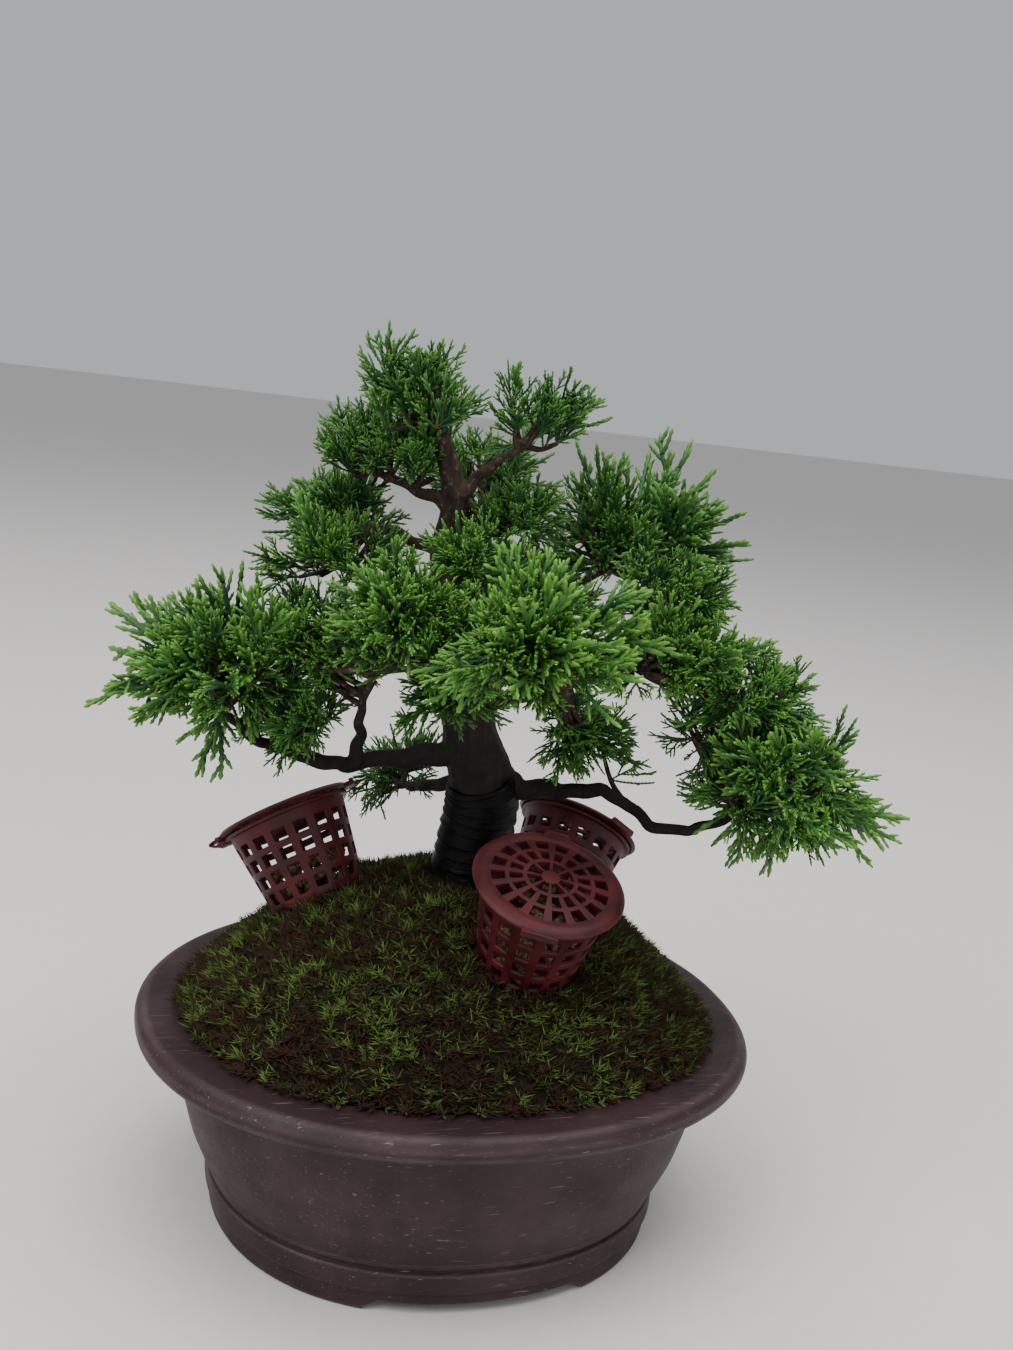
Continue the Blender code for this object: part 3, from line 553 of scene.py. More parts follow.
def maroon_plastic():
    """Injection-moulded polypropylene, maroon: satin, a little cloudy and dusty from use."""
    material, tree, shader, place = surface("moulded_maroon_polypropylene", IOR=1.49,
                                            Specular_IOR_Level=0.35)
    cloud = add(tree, "ShaderNodeTexNoise", {"Vector": place, "Scale": per(9), "Detail": 4.0})
    step = add(tree, "ShaderNodeMapRange", {0: cloud.outputs[0], 1: 0.35, 2: 0.68})
    colour = add(tree, "ShaderNodeMix", {0: step.outputs[0], 6: linear("#350a0e"),
                                         7: linear("#54151b")}, data_type="RGBA")
    fine = add(tree, "ShaderNodeTexNoise", {"Vector": place, "Scale": per(0.8), "Detail": 2.0})
    rough = add(tree, "ShaderNodeMapRange", {0: cloud.outputs[0], 1: 0.3, 2: 0.7, 3: 0.42, 4: 0.6})
    finish_surface(tree, shader, colour.outputs[2], rough.outputs[0], fine.outputs[0], 0.05, 0.35)
    return material


def pellets():
    """Pressed rapeseed-meal fertiliser: dry, crumbly and tan, with darker husks."""
    material, tree, shader, place = surface("pressed_meal_pellets", IOR=1.45, Roughness=0.95)
    husk = add(tree, "ShaderNodeTexNoise", {"Vector": place, "Scale": per(0.9), "Detail": 3.0})
    step = add(tree, "ShaderNodeMapRange", {0: husk.outputs[0], 1: 0.42, 2: 0.6})
    colour = add(tree, "ShaderNodeMix", {0: step.outputs[0], 6: linear("#4a3a2b"),
                                         7: linear("#8d7758")}, data_type="RGBA")
    finish_surface(tree, shader, colour.outputs[2], None, husk.outputs[0], 0.3, 0.7)
    return material


def black_mesh():
    """Extruded polyethylene mesh: black, dull, with a faint haze of clay dust."""
    material, tree, shader, place = surface("polyethylene_mesh", IOR=1.5)
    haze = add(tree, "ShaderNodeTexNoise", {"Vector": place, "Scale": per(3), "Detail": 4.0})
    colour = add(tree, "ShaderNodeMix", {0: haze.outputs[0], 6: linear("#121212"),
                                         7: linear("#3a332d")}, data_type="RGBA")
    rough = add(tree, "ShaderNodeMapRange", {0: haze.outputs[0], 3: 0.4, 4: 0.75})
    finish_surface(tree, shader, colour.outputs[2], rough.outputs[0], haze.outputs[0], 0.05, 0.3)
    return material


def bonsai_wire():
    """Copper-coloured anodised aluminium wire: soft metal sheen, dulled by damp."""
    material, tree, shader, place = surface("anodised_aluminium_wire", Metallic=1.0)
    film = add(tree, "ShaderNodeTexNoise", {"Vector": place, "Scale": per(2), "Detail": 4.0})
    colour = add(tree, "ShaderNodeMix", {0: film.outputs[0], 6: linear("#7a5138"),
                                         7: linear("#b98a68")}, data_type="RGBA")
    rough = add(tree, "ShaderNodeMapRange", {0: film.outputs[0], 3: 0.3, 4: 0.6})
    finish_surface(tree, shader, colour.outputs[2], rough.outputs[0], film.outputs[0], 0.03, 0.3)
    return material


# ---------------------------------------------------------------- pot

def oval(inset, z, segments=POT_SEGMENTS):
    """One level of the pot: the lip's outer edge drawn in by inset, less so along Y lower down."""
    ease = BASE_ROUNDING * max(0.0, 1 - z / (POT_HEIGHT - LIP_THICKNESS))
    angle = 2 * np.pi * np.arange(segments) / segments
    c, s = np.cos(angle), np.sin(angle)
    x = np.sign(c) * np.abs(c) ** (2 / OVAL_POWER) * (POT_LENGTH / 2 - inset)
    y = np.sign(s) * np.abs(s) ** (2 / OVAL_POWER) * (POT_DEPTH / 2 - inset + ease)
    return np.stack([x, y, np.full(segments, float(z))], axis=1)


def rounded(outline, radius, steps=4):
    """An outline with its corners turned into arcs, and how worn each of its points is."""
    points = [(np.array(p[:2], float), p[2]) for p in outline]
    out, wear = [points[0][0]], [0.0]
    for (a, _), (b, rubbed), (c, _) in zip(points, points[1:], points[2:]):
        before, after = a - b, c - b
        reach = min(radius, 0.45 * np.linalg.norm(before), 0.45 * np.linalg.norm(after))
        start = b + before / np.linalg.norm(before) * reach
        end = b + after / np.linalg.norm(after) * reach
        for t in np.linspace(0, 1, steps + 1):
            out.append((1 - t) ** 2 * start + 2 * t * (1 - t) * b + t * t * end)
            wear.append(rubbed * math.sin(math.pi * t))
    return out + [points[-1][0]], wear + [0.0]


def make_pot():
    """The pot: one closed profile carried round the oval, with a gap in its foot and two drains."""
    base, top = BASE_INSET, POT_HEIGHT
    under = top - LIP_THICKNESS
    belt = FOOT_HEIGHT + 4.5
    floor_top = FOOT_HEIGHT + FLOOR
    # inset, height, and how much the corner there is rubbed pale
    outline = [
        (base + FOOT_WIDTH + 12, FOOT_HEIGHT, 0.0), (base + FOOT_WIDTH, FOOT_HEIGHT, 0.0),
        (base + FOOT_WIDTH, 0.0, 0.3), (base, 0.0, 0.8), (base - 0.2, FOOT_HEIGHT - 1.3, 0.0),
        (base - 1.25, FOOT_HEIGHT - 0.7, 0.3), (base - 1.3, belt - 0.5, 0.7),
        (base - 0.2, belt, 0.0), (base - 0.3, belt + 0.5, 0.0), (base - 1.3, belt + 1.1, 0.3),
        (base - 1.4, belt + 2.2, 0.3), (base - 3.4, belt + 6.0, 0.0),
        (base - 6.5, belt + 13.0, 0.0), (base - 8.8, belt + 21.0, 0.0),
        (base - 10.0, under - 8.0, 0.0), (base - 11.2, under - 3.0, 0.0),
        (base - 13.5, under - 0.4, 0.0), (2.4, under, 0.2), (0.0, under + 2.4, 0.5),
        (0.0, top - 2.4, 0.6), (2.2, top, 0.6), (LIP_WIDTH, top - 0.3, 0.5),
        (LIP_WIDTH + 0.2, under, 0.0), (LIP_WIDTH + 2.0, under - 8.0, 0.0),
        (base + WALL - 7.8, floor_top + 16.0, 0.0), (base + WALL - 4.5, floor_top + 7.0, 0.0),
        (base + WALL, floor_top + 1.4, 0.0), (base + WALL + 5.0, floor_top, 0.0),
        (base + WALL + 14.0, floor_top, 0.0),
    ]
    profile, wear = rounded(outline, CORNER_RADIUS)
    rings = np.array([oval(inset, z) for inset, z in profile])
    foot = rings[..., 2] < FOOT_HEIGHT + 0.01
    across = np.abs(rings[..., 0]) / (FOOT_GAP_WIDTH / 2)
    lift = FOOT_GAP_HEIGHT * np.clip((1.03 - across) / 0.09, 0, 1)
    raised = lift + rings[..., 2] * (1 - lift / FOOT_HEIGHT)
    rings[..., 2] = np.where(foot, raised, rings[..., 2])
    verts = np.vstack([rings.reshape(-1, 3), [(0, 0, FOOT_HEIGHT)], [(0, 0, floor_top)]])
    quads = ring_faces(len(rings), POT_SEGMENTS)
    faces = np.vstack([quads[:, :3], quads[:, [0, 2, 3]], end_fans(len(rings), POT_SEGMENTS)])
    edge = np.concatenate([np.repeat(wear, POT_SEGMENTS), [0, 0]])
    uneven = np.array([noise.noise(Vector(v) * 0.09) for v in verts]) * 0.5 + 0.6
    pot = piece("stoneware_pot", verts, faces, STONEWARE, wear=edge * np.clip(uneven, 0, 1) * 0.7)
    for side in ("left", "right"):
        low, high = span(f"drain_screen_{side}")
        middle = (low + high) / 2
        depth = FOOT_HEIGHT + FLOOR + 0.5
        bpy.ops.mesh.primitive_cylinder_add(
            vertices=48, radius=DRAIN_RADIUS * MM, depth=depth * MM,
            location=(middle[0] * MM, middle[1] * MM, 9 * MM))
        cutter = bpy.context.object
        modifier(pot, "BOOLEAN", object=cutter, operation="DIFFERENCE", solver="EXACT")
        applied(pot)
        bpy.data.objects.remove(cutter, do_unlink=True)
    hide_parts("pot")


# ---------------------------------------------------------------- moss and soil

def mound_share(x, y):
    """0 at the trunk's foot, 1 at the edge of the pot's opening, along a straight line between."""
    half = np.array([POT_LENGTH / 2 - LIP_WIDTH, POT_DEPTH / 2 - LIP_WIDTH])
    out = np.stack([x - TRUNK_FOOT[0], y - TRUNK_FOOT[1]], axis=-1)
    low = np.full(len(out), 0.001)
    high = np.full(len(out), 1.6)
    for _ in range(24):
        share = (low + high) / 2
        p = np.abs((TRUNK_FOOT + out / share[:, None]) / half) ** OVAL_POWER
        outside = p.sum(axis=1) > 1
        low = np.where(outside, share, low)
        high = np.where(outside, high, share)
    return (low + high) / 2


def mound_height(x, y):
    """Height of the mossy mound over the table, with its lumps and hollows."""
    share = np.minimum(mound_share(x, y), 1.0)
    swell = np.array([noise.noise(Vector((a * 0.07, b * 0.07, 1.0))) * 1.3
                      + noise.noise(Vector((a * 0.28, b * 0.28, 5.0))) * 1.3
                      for a, b in zip(x, y)])
    return MOUND_EDGE + MOUND_RISE * (1 - share ** MOUND_POWER) + swell * (1 - share ** 6)


def basket_matrix(name):
    """A basket's own frame: origin under its foot, Z up its axis, Y towards its hinge."""
    lean, lean_heading, hinge_heading = (math.radians(a) for a in BASKETS[name])
    joint = next(j for j in frame["joints"] if j["name"] == f"hinge_{name}")
    up = Vector((math.cos(lean_heading) * math.sin(lean), math.sin(lean_heading) * math.sin(lean),
                 math.cos(lean)))
    back = Vector((math.cos(hinge_heading), math.sin(hinge_heading), 0))
    back = (back - back.dot(up) * up).normalized()
    turn = Matrix((back.cross(up), back, up)).transposed()
    reach = Vector((0, LID_RADIUS + HINGE_REACH, CUP_HEIGHT + LID_GAP / 2)) * MM
    place = Vector(joint["pos_m"]) - turn @ reach
    return Matrix.Translation(place) @ turn.to_4x4()


def in_basket_frame(points, name):
    """Points in millimetres as the basket's own frame has them."""
    inverse = np.array(basket_matrix(name).inverted())
    return points * MM @ inverse[:3, :3].T / MM + inverse[:3, 3] / MM


def clear_of_baskets(points, margin):
    """Which points are outside the foot of every basket."""
    keep = np.ones(len(points), bool)
    for name in BASKETS:
        local = in_basket_frame(points, name)
        radius = np.hypot(local[:, 0], local[:, 1])
        keep &= (radius > CUP_FOOT_RADIUS + margin) | (local[:, 2] < -1)
    return keep


def make_moss():
    """The bed of the moss, pressed flat under the baskets, and the shoots that stand on it."""
    rings, around = 56, 160
    share = np.linspace(0, 1, rings)
    edge = oval(LIP_WIDTH + 0.35, POT_HEIGHT, around)[:, :2]
    out = edge - TRUNK_FOOT
    start = out / np.linalg.norm(out, axis=1)[:, None] * (ROOT_FLARE - 1.5)
    flat = TRUNK_FOOT + start + (out - start) * share[:, None, None]
    flat = flat.reshape(-1, 2)
    height = mound_height(flat[:, 0], flat[:, 1])
    top = np.column_stack([flat, height])
    for name in BASKETS:
        local = in_basket_frame(top, name)
        under = (np.hypot(local[:, 0], local[:, 1]) < CUP_FOOT_RADIUS + 0.8) & (local[:, 2] > -0.5)
        slant = basket_matrix(name)[2][2]
        top[under, 2] -= (local[under, 2] + 0.5) / slant
    skirt = np.column_stack([edge, np.full(around, POT_HEIGHT - 5.0)])
    verts = np.vstack([top, skirt])
    faces = ring_faces(rings + 1, around)
    bed = piece("moss_bed", verts, faces[:, ::-1], MOSS_BED)
    modifier(bed, "SOLIDIFY", thickness=1.5 * MM, offset=-1.0)
    applied(bed).shade_smooth()
    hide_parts("moss")

    for part in ("near", "far"):
        verts, faces, tone, tip = moss_shoots(MOSS_TUFTS, edge)
        obj = piece(f"moss_shoots_{part}", verts, faces, MOSS, tone=tone, tip=tip)


def moss_shoots(count, edge):
    """Tufts of narrow pointed leaves all over the mound, spilling a little over the lip."""
    angle = RNG.uniform(0, 2 * np.pi, count)
    share = np.sqrt(RNG.uniform(0.035, 1.06, count))
    spot = (angle / (2 * np.pi) * len(edge)).astype(int) % len(edge)
    flat = TRUNK_FOOT + (edge[spot] - TRUNK_FOOT) * share[:, None] + RNG.normal(0, 0.6, (count, 2))
    height = mound_height(flat[:, 0], flat[:, 1]) - 0.6
    over = share > 1.0
    height[over] = POT_HEIGHT + 0.1
    roots = np.column_stack([flat, height])
    keep = clear_of_baskets(roots, 0.4)
    roots = roots[keep]
    normal = np.column_stack([(roots[:, :2] - TRUNK_FOOT) * 0.008, np.ones(len(roots))])
    patch = np.array([noise.noise(Vector((a * 0.055, b * 0.055, 9.0))) for a, b, _ in roots])
    fine = np.array([noise.noise(Vector((a * 0.3, b * 0.3, 2.0))) for a, b, _ in roots])
    tone = np.clip(0.40 + 0.4 * patch + 0.9 * fine + RNG.normal(0, 0.34, len(roots)), 0, 1)
    n = len(roots) * BLADES_A_TUFT
    centre = np.repeat(roots, BLADES_A_TUFT, axis=0)
    lean = np.repeat(normal, BLADES_A_TUFT, axis=0)
    turn = RNG.uniform(0, 2 * np.pi, n)
    spread = RNG.uniform(0.2, 2.4, n)
    direction = lean + np.column_stack([np.cos(turn) * spread, np.sin(turn) * spread, np.zeros(n)])
    direction /= np.linalg.norm(direction, axis=1)[:, None]
    length = RNG.uniform(1.5, 4.8, n)
    side = np.cross(direction, RNG.normal(0, 1, (n, 3)))
    side /= np.linalg.norm(side, axis=1)[:, None]
    third = np.cross(direction, side)
    width = RNG.uniform(0.2, 0.4, n)[:, None]
    base = centre + direction * 0.2
    a = base + side * width
    b = base - 0.5 * side * width + 0.87 * third * width
    c = base - 0.5 * side * width - 0.87 * third * width
    droop = np.column_stack([np.zeros(n), np.zeros(n), -0.12 * length])
    tip = base + direction * length[:, None] + droop
    verts = np.stack([a, b, c, tip], axis=1).reshape(-1, 3)
    first = np.arange(n)[:, None, None] * 4
    faces = (first + np.array([[0, 1, 3], [1, 2, 3], [2, 0, 3]])).reshape(-1, 3)
    tones = np.repeat(np.clip(np.repeat(tone, BLADES_A_TUFT) + RNG.normal(0, 0.14, n), 0, 1), 4)
    tips = np.tile([0.0, 0.0, 0.0, 1.0], n)
    return verts, faces, tones, tips


def lump(subdivisions, roughness, seed):
    """A small rough stone of radius 1 as arrays."""
    bm = bmesh.new()
    bmesh.ops.create_icosphere(bm, subdivisions=subdivisions, radius=1.0)
    verts = np.array([v.co * (1 + roughness * noise.noise(v.co * 1.7 + Vector((seed, 0, 0))))
                      for v in bm.verts])
    faces = np.array([[v.index for v in f.verts] for f in bm.faces])
    bm.free()
    return verts, faces


def scatter_lumps(places, sizes, subdivisions, roughness):
    """Rough stones at the given places, each turned its own way and a little flattened."""
    shapes = [lump(subdivisions, roughness, 10.0 * k) for k in range(6)]
    parts = []
    for k, (place, size) in enumerate(zip(places, sizes)):
        verts, faces = shapes[k % len(shapes)]
        turn = np.array(Matrix.Rotation(RNG.uniform(0, 6.28), 3, Vector(RNG.normal(0, 1, 3))))
        stretch = np.array([1.0, RNG.uniform(0.75, 1.0), RNG.uniform(0.75, 1.0)])
        parts.append(((verts * stretch) @ turn.T * size + place, faces))
    return merge(parts)


def make_soil_crumbs():
    """Grains of soil that lie along the moss's edge on the lip."""
    edge = oval(LIP_WIDTH, POT_HEIGHT, 720)
    spot = RNG.integers(0, len(edge), SOIL_CRUMBS)
    out = edge[spot, :2] / np.linalg.norm(edge[spot, :2], axis=1)[:, None]
    patch = np.array([noise.noise(Vector(e) * 0.06) for e in edge[spot]])
    reach = RNG.exponential(0.9, SOIL_CRUMBS) * (1 + 1.5 * np.maximum(patch, 0)) - 1.0
    places = edge[spot] + np.column_stack([out * reach[:, None], np.full(SOIL_CRUMBS, 0.15)])
    places[reach < 0, 2] += 0.3
    sizes = RNG.uniform(0.3, 0.85, SOIL_CRUMBS)
    verts, faces = scatter_lumps(places, sizes, 2, 0.4)
    piece("soil_crumbs", verts, faces, SOIL, smooth=False)


# ---------------------------------------------------------------- wood

def bark_relief(run, around, radius, seed):
    """Heights of stringy bark over a tube, as rings by angles."""
    angle = 2 * np.pi * np.arange(around) / around
    rows = np.zeros((len(run), around))
    for i, u in enumerate(run):
        for k, a in enumerate(angle):
            p = Vector((math.cos(a) * 2.4, math.sin(a) * 2.4, u * 0.06 + seed))
            strip = 1 - abs(noise.noise(p)) * 2.4
            knot = noise.noise(Vector((math.cos(a), math.sin(a), u * 0.16 + seed * 3)))
            flake = noise.noise(Vector((math.cos(a) * 2, math.sin(a) * 2, u * 0.5 + seed)))
            rows[i, k] = 0.15 * strip + 0.22 * knot + 0.12 * max(flake, 0)
    return rows * np.asarray(radius)[:, None] ** 0.75


def grown(name, points, seed):
    """Places, radii and run along a branch, with the small bends of real wood."""
    places, radii = smooth_line(points, 8)
    places, radii, run = even_line(places, radii, 0.8)
    if name != "trunk":
        radii = radii * (0.55 + 0.45 * np.exp(-run / 9.0))
    wander = np.array([[noise.noise(Vector((u * 0.15, k * 9.0, seed))) for k in range(3)]
                       for u in run])
    hold = np.minimum(run / 6.0, 1.0)[:, None] * (0 if name == "trunk" else 1)
    return places + wander * hold * 1.6, radii, run


def make_wood():
    """The trunk and its branches as one skin. Gives each one's places and radii by name."""
    parts, lines = [], {}
    for seed, (name, points) in enumerate([("trunk", TRUNK_LINE), *BRANCHES.items()]):
        places, radii, run = grown(name, points, seed)
        around = 40 if name == "trunk" else 20
        parts.append(tube(places, radii, around, bark_relief(run, around, radii, seed * 5.0)))
        lines[name] = (places, radii)
    verts, faces = merge(parts)
    wood = piece("trunk_and_branches", verts, faces, BARK)
    modifier(wood, "REMESH", mode="VOXEL", voxel_size=WOOD_DETAIL * MM)
    mesh = applied(wood)
    mesh.shade_smooth()
    mesh.materials.clear()
    mesh.materials.append(BARK)
    heights = np.empty(len(mesh.vertices) * 3, np.float32)
    mesh.vertices.foreach_get("co", heights)
    # how far the bark is darkened lower down: 0 above the top, 1 below the fade
    low_darkening = np.clip((DARKENING_TOP - heights[2::3] / MM) / DARKENING_FADE, 0, 1)
    mesh.attributes.new("low_darkening", "FLOAT", "POINT").data.foreach_set("value", low_darkening)
    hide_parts("trunk")
    return lines


def make_wrap():
    """Tape wound up the trunk's foot in turns that overlap."""
    low, high = span("trunk_wrap")
    places, radii = smooth_line(TRUNK_LINE, 12)
    places, radii, _ = even_line(places, radii, 0.25)
    inside = (places[:, 2] > low[2] - 3.0) & (places[:, 2] < high[2] + TAPE_ABOVE)
    places, radii = places[inside], radii[inside]
    around = 120
    angle = 2 * np.pi * np.arange(around) / around
    sway = 0.9 * np.sin(angle + 0.7)[None, :] * np.sin(places[:, 2] * 0.23)[:, None]
    rise = (places[:, 2][:, None] + sway) / TAPE_PITCH - angle[None, :] / (2 * np.pi)
    turn = rise - np.floor(rise)
    step = 0.75 * (1 - turn) ** 1.4 + 0.25
    wrinkle = np.array([[noise.noise(Vector((math.cos(a) * 3, math.sin(a) * 3, p[2] * 0.5)))
                         for a in angle] for p in places])
    outer = step + 0.16 * wrinkle + 0.75
    sides, ups = cross_frames(places)
    out = np.cos(angle)[None, :, None] * sides[:, None] + np.sin(angle)[None, :, None] * ups[:, None]
    skin = places[:, None] + (radii[:, None] + outer)[..., None] * out
    lining = places[:, None] + (radii[:, None] + 0.1)[..., None] * out
    rings = np.concatenate([skin, lining[::-1]])
    faces = ring_faces(len(rings), around, closed=True)
    wrap = piece("trunk_tape", rings.reshape(-1, 3), faces, TAPE)
    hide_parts("trunk_wrap")


# ---------------------------------------------------------------- foliage

def cord(path, thick, tip_gap, woody_to=0.0):
    """A shoot clad in pairs of scale leaves, each pair a quarter turn round from the last."""
    around = 4
    run = np.concatenate([[0], np.cumsum(np.linalg.norm(np.diff(path, axis=0), axis=1))])
    count = max(4, int(run[-1] / LEAF_PAIR) + 2)
    at = np.linspace(0, run[-1], count)
    places = np.stack([np.interp(at, run, path[:, k]) for k in range(3)], axis=1)
    left = run[-1] - at
    radii = thick * (0.85 + 0.15 * np.minimum(left / 4.0, 1)) * np.minimum(1, 0.5 + left / 1.3)
    angle = 2 * np.pi * np.arange(around) / around
    bulge = 0.26 * np.cos(2 * angle[None, :] + np.pi * np.arange(count)[:, None])
    verts, faces = tube(places, radii, around, radii[:, None] * bulge)
    tip = np.clip(1 - (left + tip_gap) / NEW_GROWTH, 0, 1)
    woody = np.clip((woody_to - at) / 3.0, 0, 1)
    per_vert = [np.concatenate([np.repeat(v, around), v[:1], v[-1:]]) for v in (tip, woody)]
    return verts, faces, *per_vert


def bent(start, direction, towards, length, bend, points=7):
    """A short curved path that starts in one direction and turns towards another."""
    t = np.linspace(0, 1, points)
    mix = direction[None] * (1 - bend * t)[:, None] + towards[None] * (bend * t)[:, None]
    mix /= np.linalg.norm(mix, axis=1)[:, None]
    steps = mix[:-1] * (length / (points - 1))
    return np.vstack([start, start + np.cumsum(steps, axis=0)])


def unit(v):
    """The same direction with length 1."""
    return v / np.linalg.norm(v)


def spray(rng):
    """One fan of foliage 22 mm long that grows up +Z: whip-like shoots that fork at their ends."""
    up = np.array([0.0, 0.0, 1.0])
    stem = bent(np.zeros(3), unit(up + rng.normal(0, 0.15, 3)), up, SPRAY_LENGTH, 0.6, 12)
    shoots = [(stem, SPRAY_LENGTH, 4.0)]
    plane = rng.uniform(0, 2 * np.pi)
    count = int(rng.integers(4, 8))
    for k in range(count):
        share = 0.04 + 0.6 * k / count + rng.uniform(-0.03, 0.03)
        azimuth = plane + math.pi * (k % 2) + rng.normal(0, 0.7)
        out = np.array([math.cos(azimuth), math.sin(azimuth), 0])
        angle = rng.uniform(0.45, 1.0)
        direction = math.cos(angle) * up + math.sin(angle) * out
        reach = SPRAY_LENGTH * (1.0 - share) * rng.uniform(0.55, 1.15)
        shoots.append((bent(stem[int(share * 11)], direction, up, reach, 0.5, 9), reach, 0.0))
    parts = []
    for path, reach, woody_to in shoots:
        parts.append(cord(path, rng.uniform(*SHOOT_RADIUS), 0.0, woody_to))
        spurs = int(rng.integers(3, 6))
        turn = rng.uniform(0, 2 * np.pi)
        for k in range(spurs):
            index = (0.35 + 0.6 * k / spurs) * (len(path) - 1)
            low = int(index)
            spot = path[low] + (path[low + 1] - path[low]) * (index - low)
            along = unit(path[low + 1] - path[low])
            side = unit(np.cross(along, (math.cos(turn), math.sin(turn), 0.3)))
            side = side * (1 if k % 2 else -1)
            angle = rng.uniform(0.45, 0.75)
            direction = math.cos(angle) * along + math.sin(angle) * side
            size = rng.uniform(2.2, 6.0) * (1.2 - 0.6 * k / spurs)
            parts.append(cord(bent(spot, direction, along, size, 0.4, 4), SPUR_RADIUS, 0.4))
    return merge(parts)


def place_sprays(sprays, roots, directions, sizes, rng):
    """Copies of the sprays turned to grow in their directions."""
    parts = []
    for root, direction, size in zip(roots, directions, sizes):
        verts, faces, tip, woody = sprays[int(rng.integers(len(sprays)))]
        direction = unit(direction)
        side = unit(np.cross(direction, rng.normal(0, 1, 3)))
        turn = np.stack([side, np.cross(direction, side), direction], axis=1)
        tone = np.full(len(verts), rng.uniform(0, 1))
        parts.append((verts @ turn.T * size + root, faces, tip, woody, tone))
    return merge(parts)


def pad_space(name):
    """Middle and half sizes of a pad, from its CAD node where SPACES doesn't give them."""
    if name in SPACES:
        return [np.array(v, float) for v in SPACES[name]]
    low, high = span(f"foliage_{name}")
    return (low + high) / 2, (high - low) / 2


def make_foliage(lines):
    """Sprays on short twigs, pad by pad, each pad in two pieces."""
    rng = np.random.default_rng(7)
    sprays = [spray(rng) for _ in range(SPRAY_KINDS)]
    twigs = []
    for name, (carriers, count, rise, bright) in PADS.items():
        centre, half = pad_space(name)
        wood = np.vstack([lines[c][0][len(lines[c][0]) // 2:] for c in carriers])
        roots, directions, sizes = [], [], []
        for k in range(count):
            # directions spread evenly round the pad, fewer of them below
            z = 1 - 1.6 * (k + 0.5) / count
            turn = k * GOLDEN_ANGLE + rng.normal(0, 0.2)
            flat = math.sqrt(max(0.0, 1 - z * z))
            shell = np.array([flat * math.cos(turn), flat * math.sin(turn), z])
            depth = rng.uniform(0.1, 0.6)
            end = centre + half * shell * depth
            near = wood[np.argmin(np.linalg.norm(wood - end, axis=1) + rng.uniform(0, 4, len(wood)))]
            dip = np.array([0, 0, -0.12]) * np.linalg.norm(end - near)
            path = np.array([near, (near + end) / 2 + dip + rng.normal(0, 0.8, 3), end])
            places, radii = smooth_line([(p, r) for p, r in zip(path, (0.95, 0.7, 0.5))], 6)
            twigs.append(tube(places, radii, 7))
            away = end - (*TRUNK_FOOT, end[2])
            outward = 0.7 * unit(shell / half) + 0.45 * unit(away) + rng.normal(0, 0.32, 3)
            room = np.linalg.norm(half * shell) * (1.1 - depth)
            for s in range(SPRAYS_A_TWIG):
                share = 1.0 if s < 2 else rng.uniform(0.45, 0.95)
                roots.append(places[int(share * (len(places) - 1))])
                directions.append(outward + (0, 0, rise) + rng.normal(0, 0.48, 3))
                # one in four is a long whip that stands clear of the rest
                whip = 0.55 * (rng.random() < 0.25)
                sizes.append(max(0.55, room / SPRAY_LENGTH * (rng.uniform(0.5, 1.0) + whip)))
        for layer, picked in (("inner", slice(0, None, 2)), ("outer", slice(1, None, 2))):
            verts, faces, tip, woody, tone = place_sprays(sprays, roots[picked],
                                                          directions[picked], sizes[picked], rng)
            tip = np.clip(tip * (0.35 + 0.65 * bright) + 0.12 * bright * tone, 0, 1)
            pad = piece(f"shoots_{name}_{layer}", verts, faces, LEAVES,
                        tip=tip, woody=woody, tone=tone)
            if layer == "inner" and f"foliage_{name}" in frame["nodes"]:
                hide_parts(f"foliage_{name}")
    verts, faces = merge(twigs)
    piece("twigs", verts, faces, BARK)


# ---------------------------------------------------------------- baskets

def cup_radius(z):
    """Outer radius of the tapered cup at a height over its foot."""
    return CUP_FOOT_RADIUS + (CUP_TOP_RADIUS - CUP_FOOT_RADIUS) * z / CUP_HEIGHT


def circle(radius, z):
    """One ring of a lattice, its points closer together across the bars than across the holes."""
    share = np.arange(ARC_STEPS) / ARC_STEPS
    pair = np.concatenate([BAR_SHARE * share, BAR_SHARE + (1 - BAR_SHARE) * share])
    angle = (2 * np.pi / CUP_COLUMNS * (np.arange(CUP_COLUMNS)[:, None] + pair)).ravel()
    return np.stack([radius * np.cos(angle), radius * np.sin(angle), np.full(len(angle), z)], 1)


def pierced(levels, is_hole, floor=False):
    """A surface through rings of points, without the cells that is_hole picks."""
    bm = bmesh.new()
    rows = [[bm.verts.new(p) for p in ring * MM] for ring in levels]
    count = len(rows[0])
    for row in range(len(rows) - 1):
        for i in range(count):
            if not is_hole(row, i // ARC_STEPS):
                j = (i + 1) % count
                bm.faces.new((rows[row][i], rows[row][j], rows[row + 1][j], rows[row + 1][i]))
    if floor:
        bm.faces.new(list(reversed(rows[0])))
    bmesh.ops.recalc_face_normals(bm, faces=bm.faces)
    loose = [v for v in bm.verts if not v.link_faces]
    bmesh.ops.delete(bm, geom=loose, context="VERTS")
    mesh = bpy.data.meshes.new("pierced")
    bm.to_mesh(mesh)
    bm.free()
    return mesh


def facing(mesh, point):
    """1 where a surface's faces look away from a point, and -1 where they look towards it."""
    return math.copysign(1.0, sum(f.area * f.normal.dot(f.center - point) for f in mesh.polygons))


def block(bm, low, high):
    """A box with its corners at low and high, in millimetres."""
    low, high = Vector(low) * MM, Vector(high) * MM
    made = bmesh.ops.create_cube(bm, size=1.0)["verts"]
    bmesh.ops.scale(bm, vec=high - low, verts=made)
    bmesh.ops.translate(bm, vec=(low + high) / 2, verts=made)


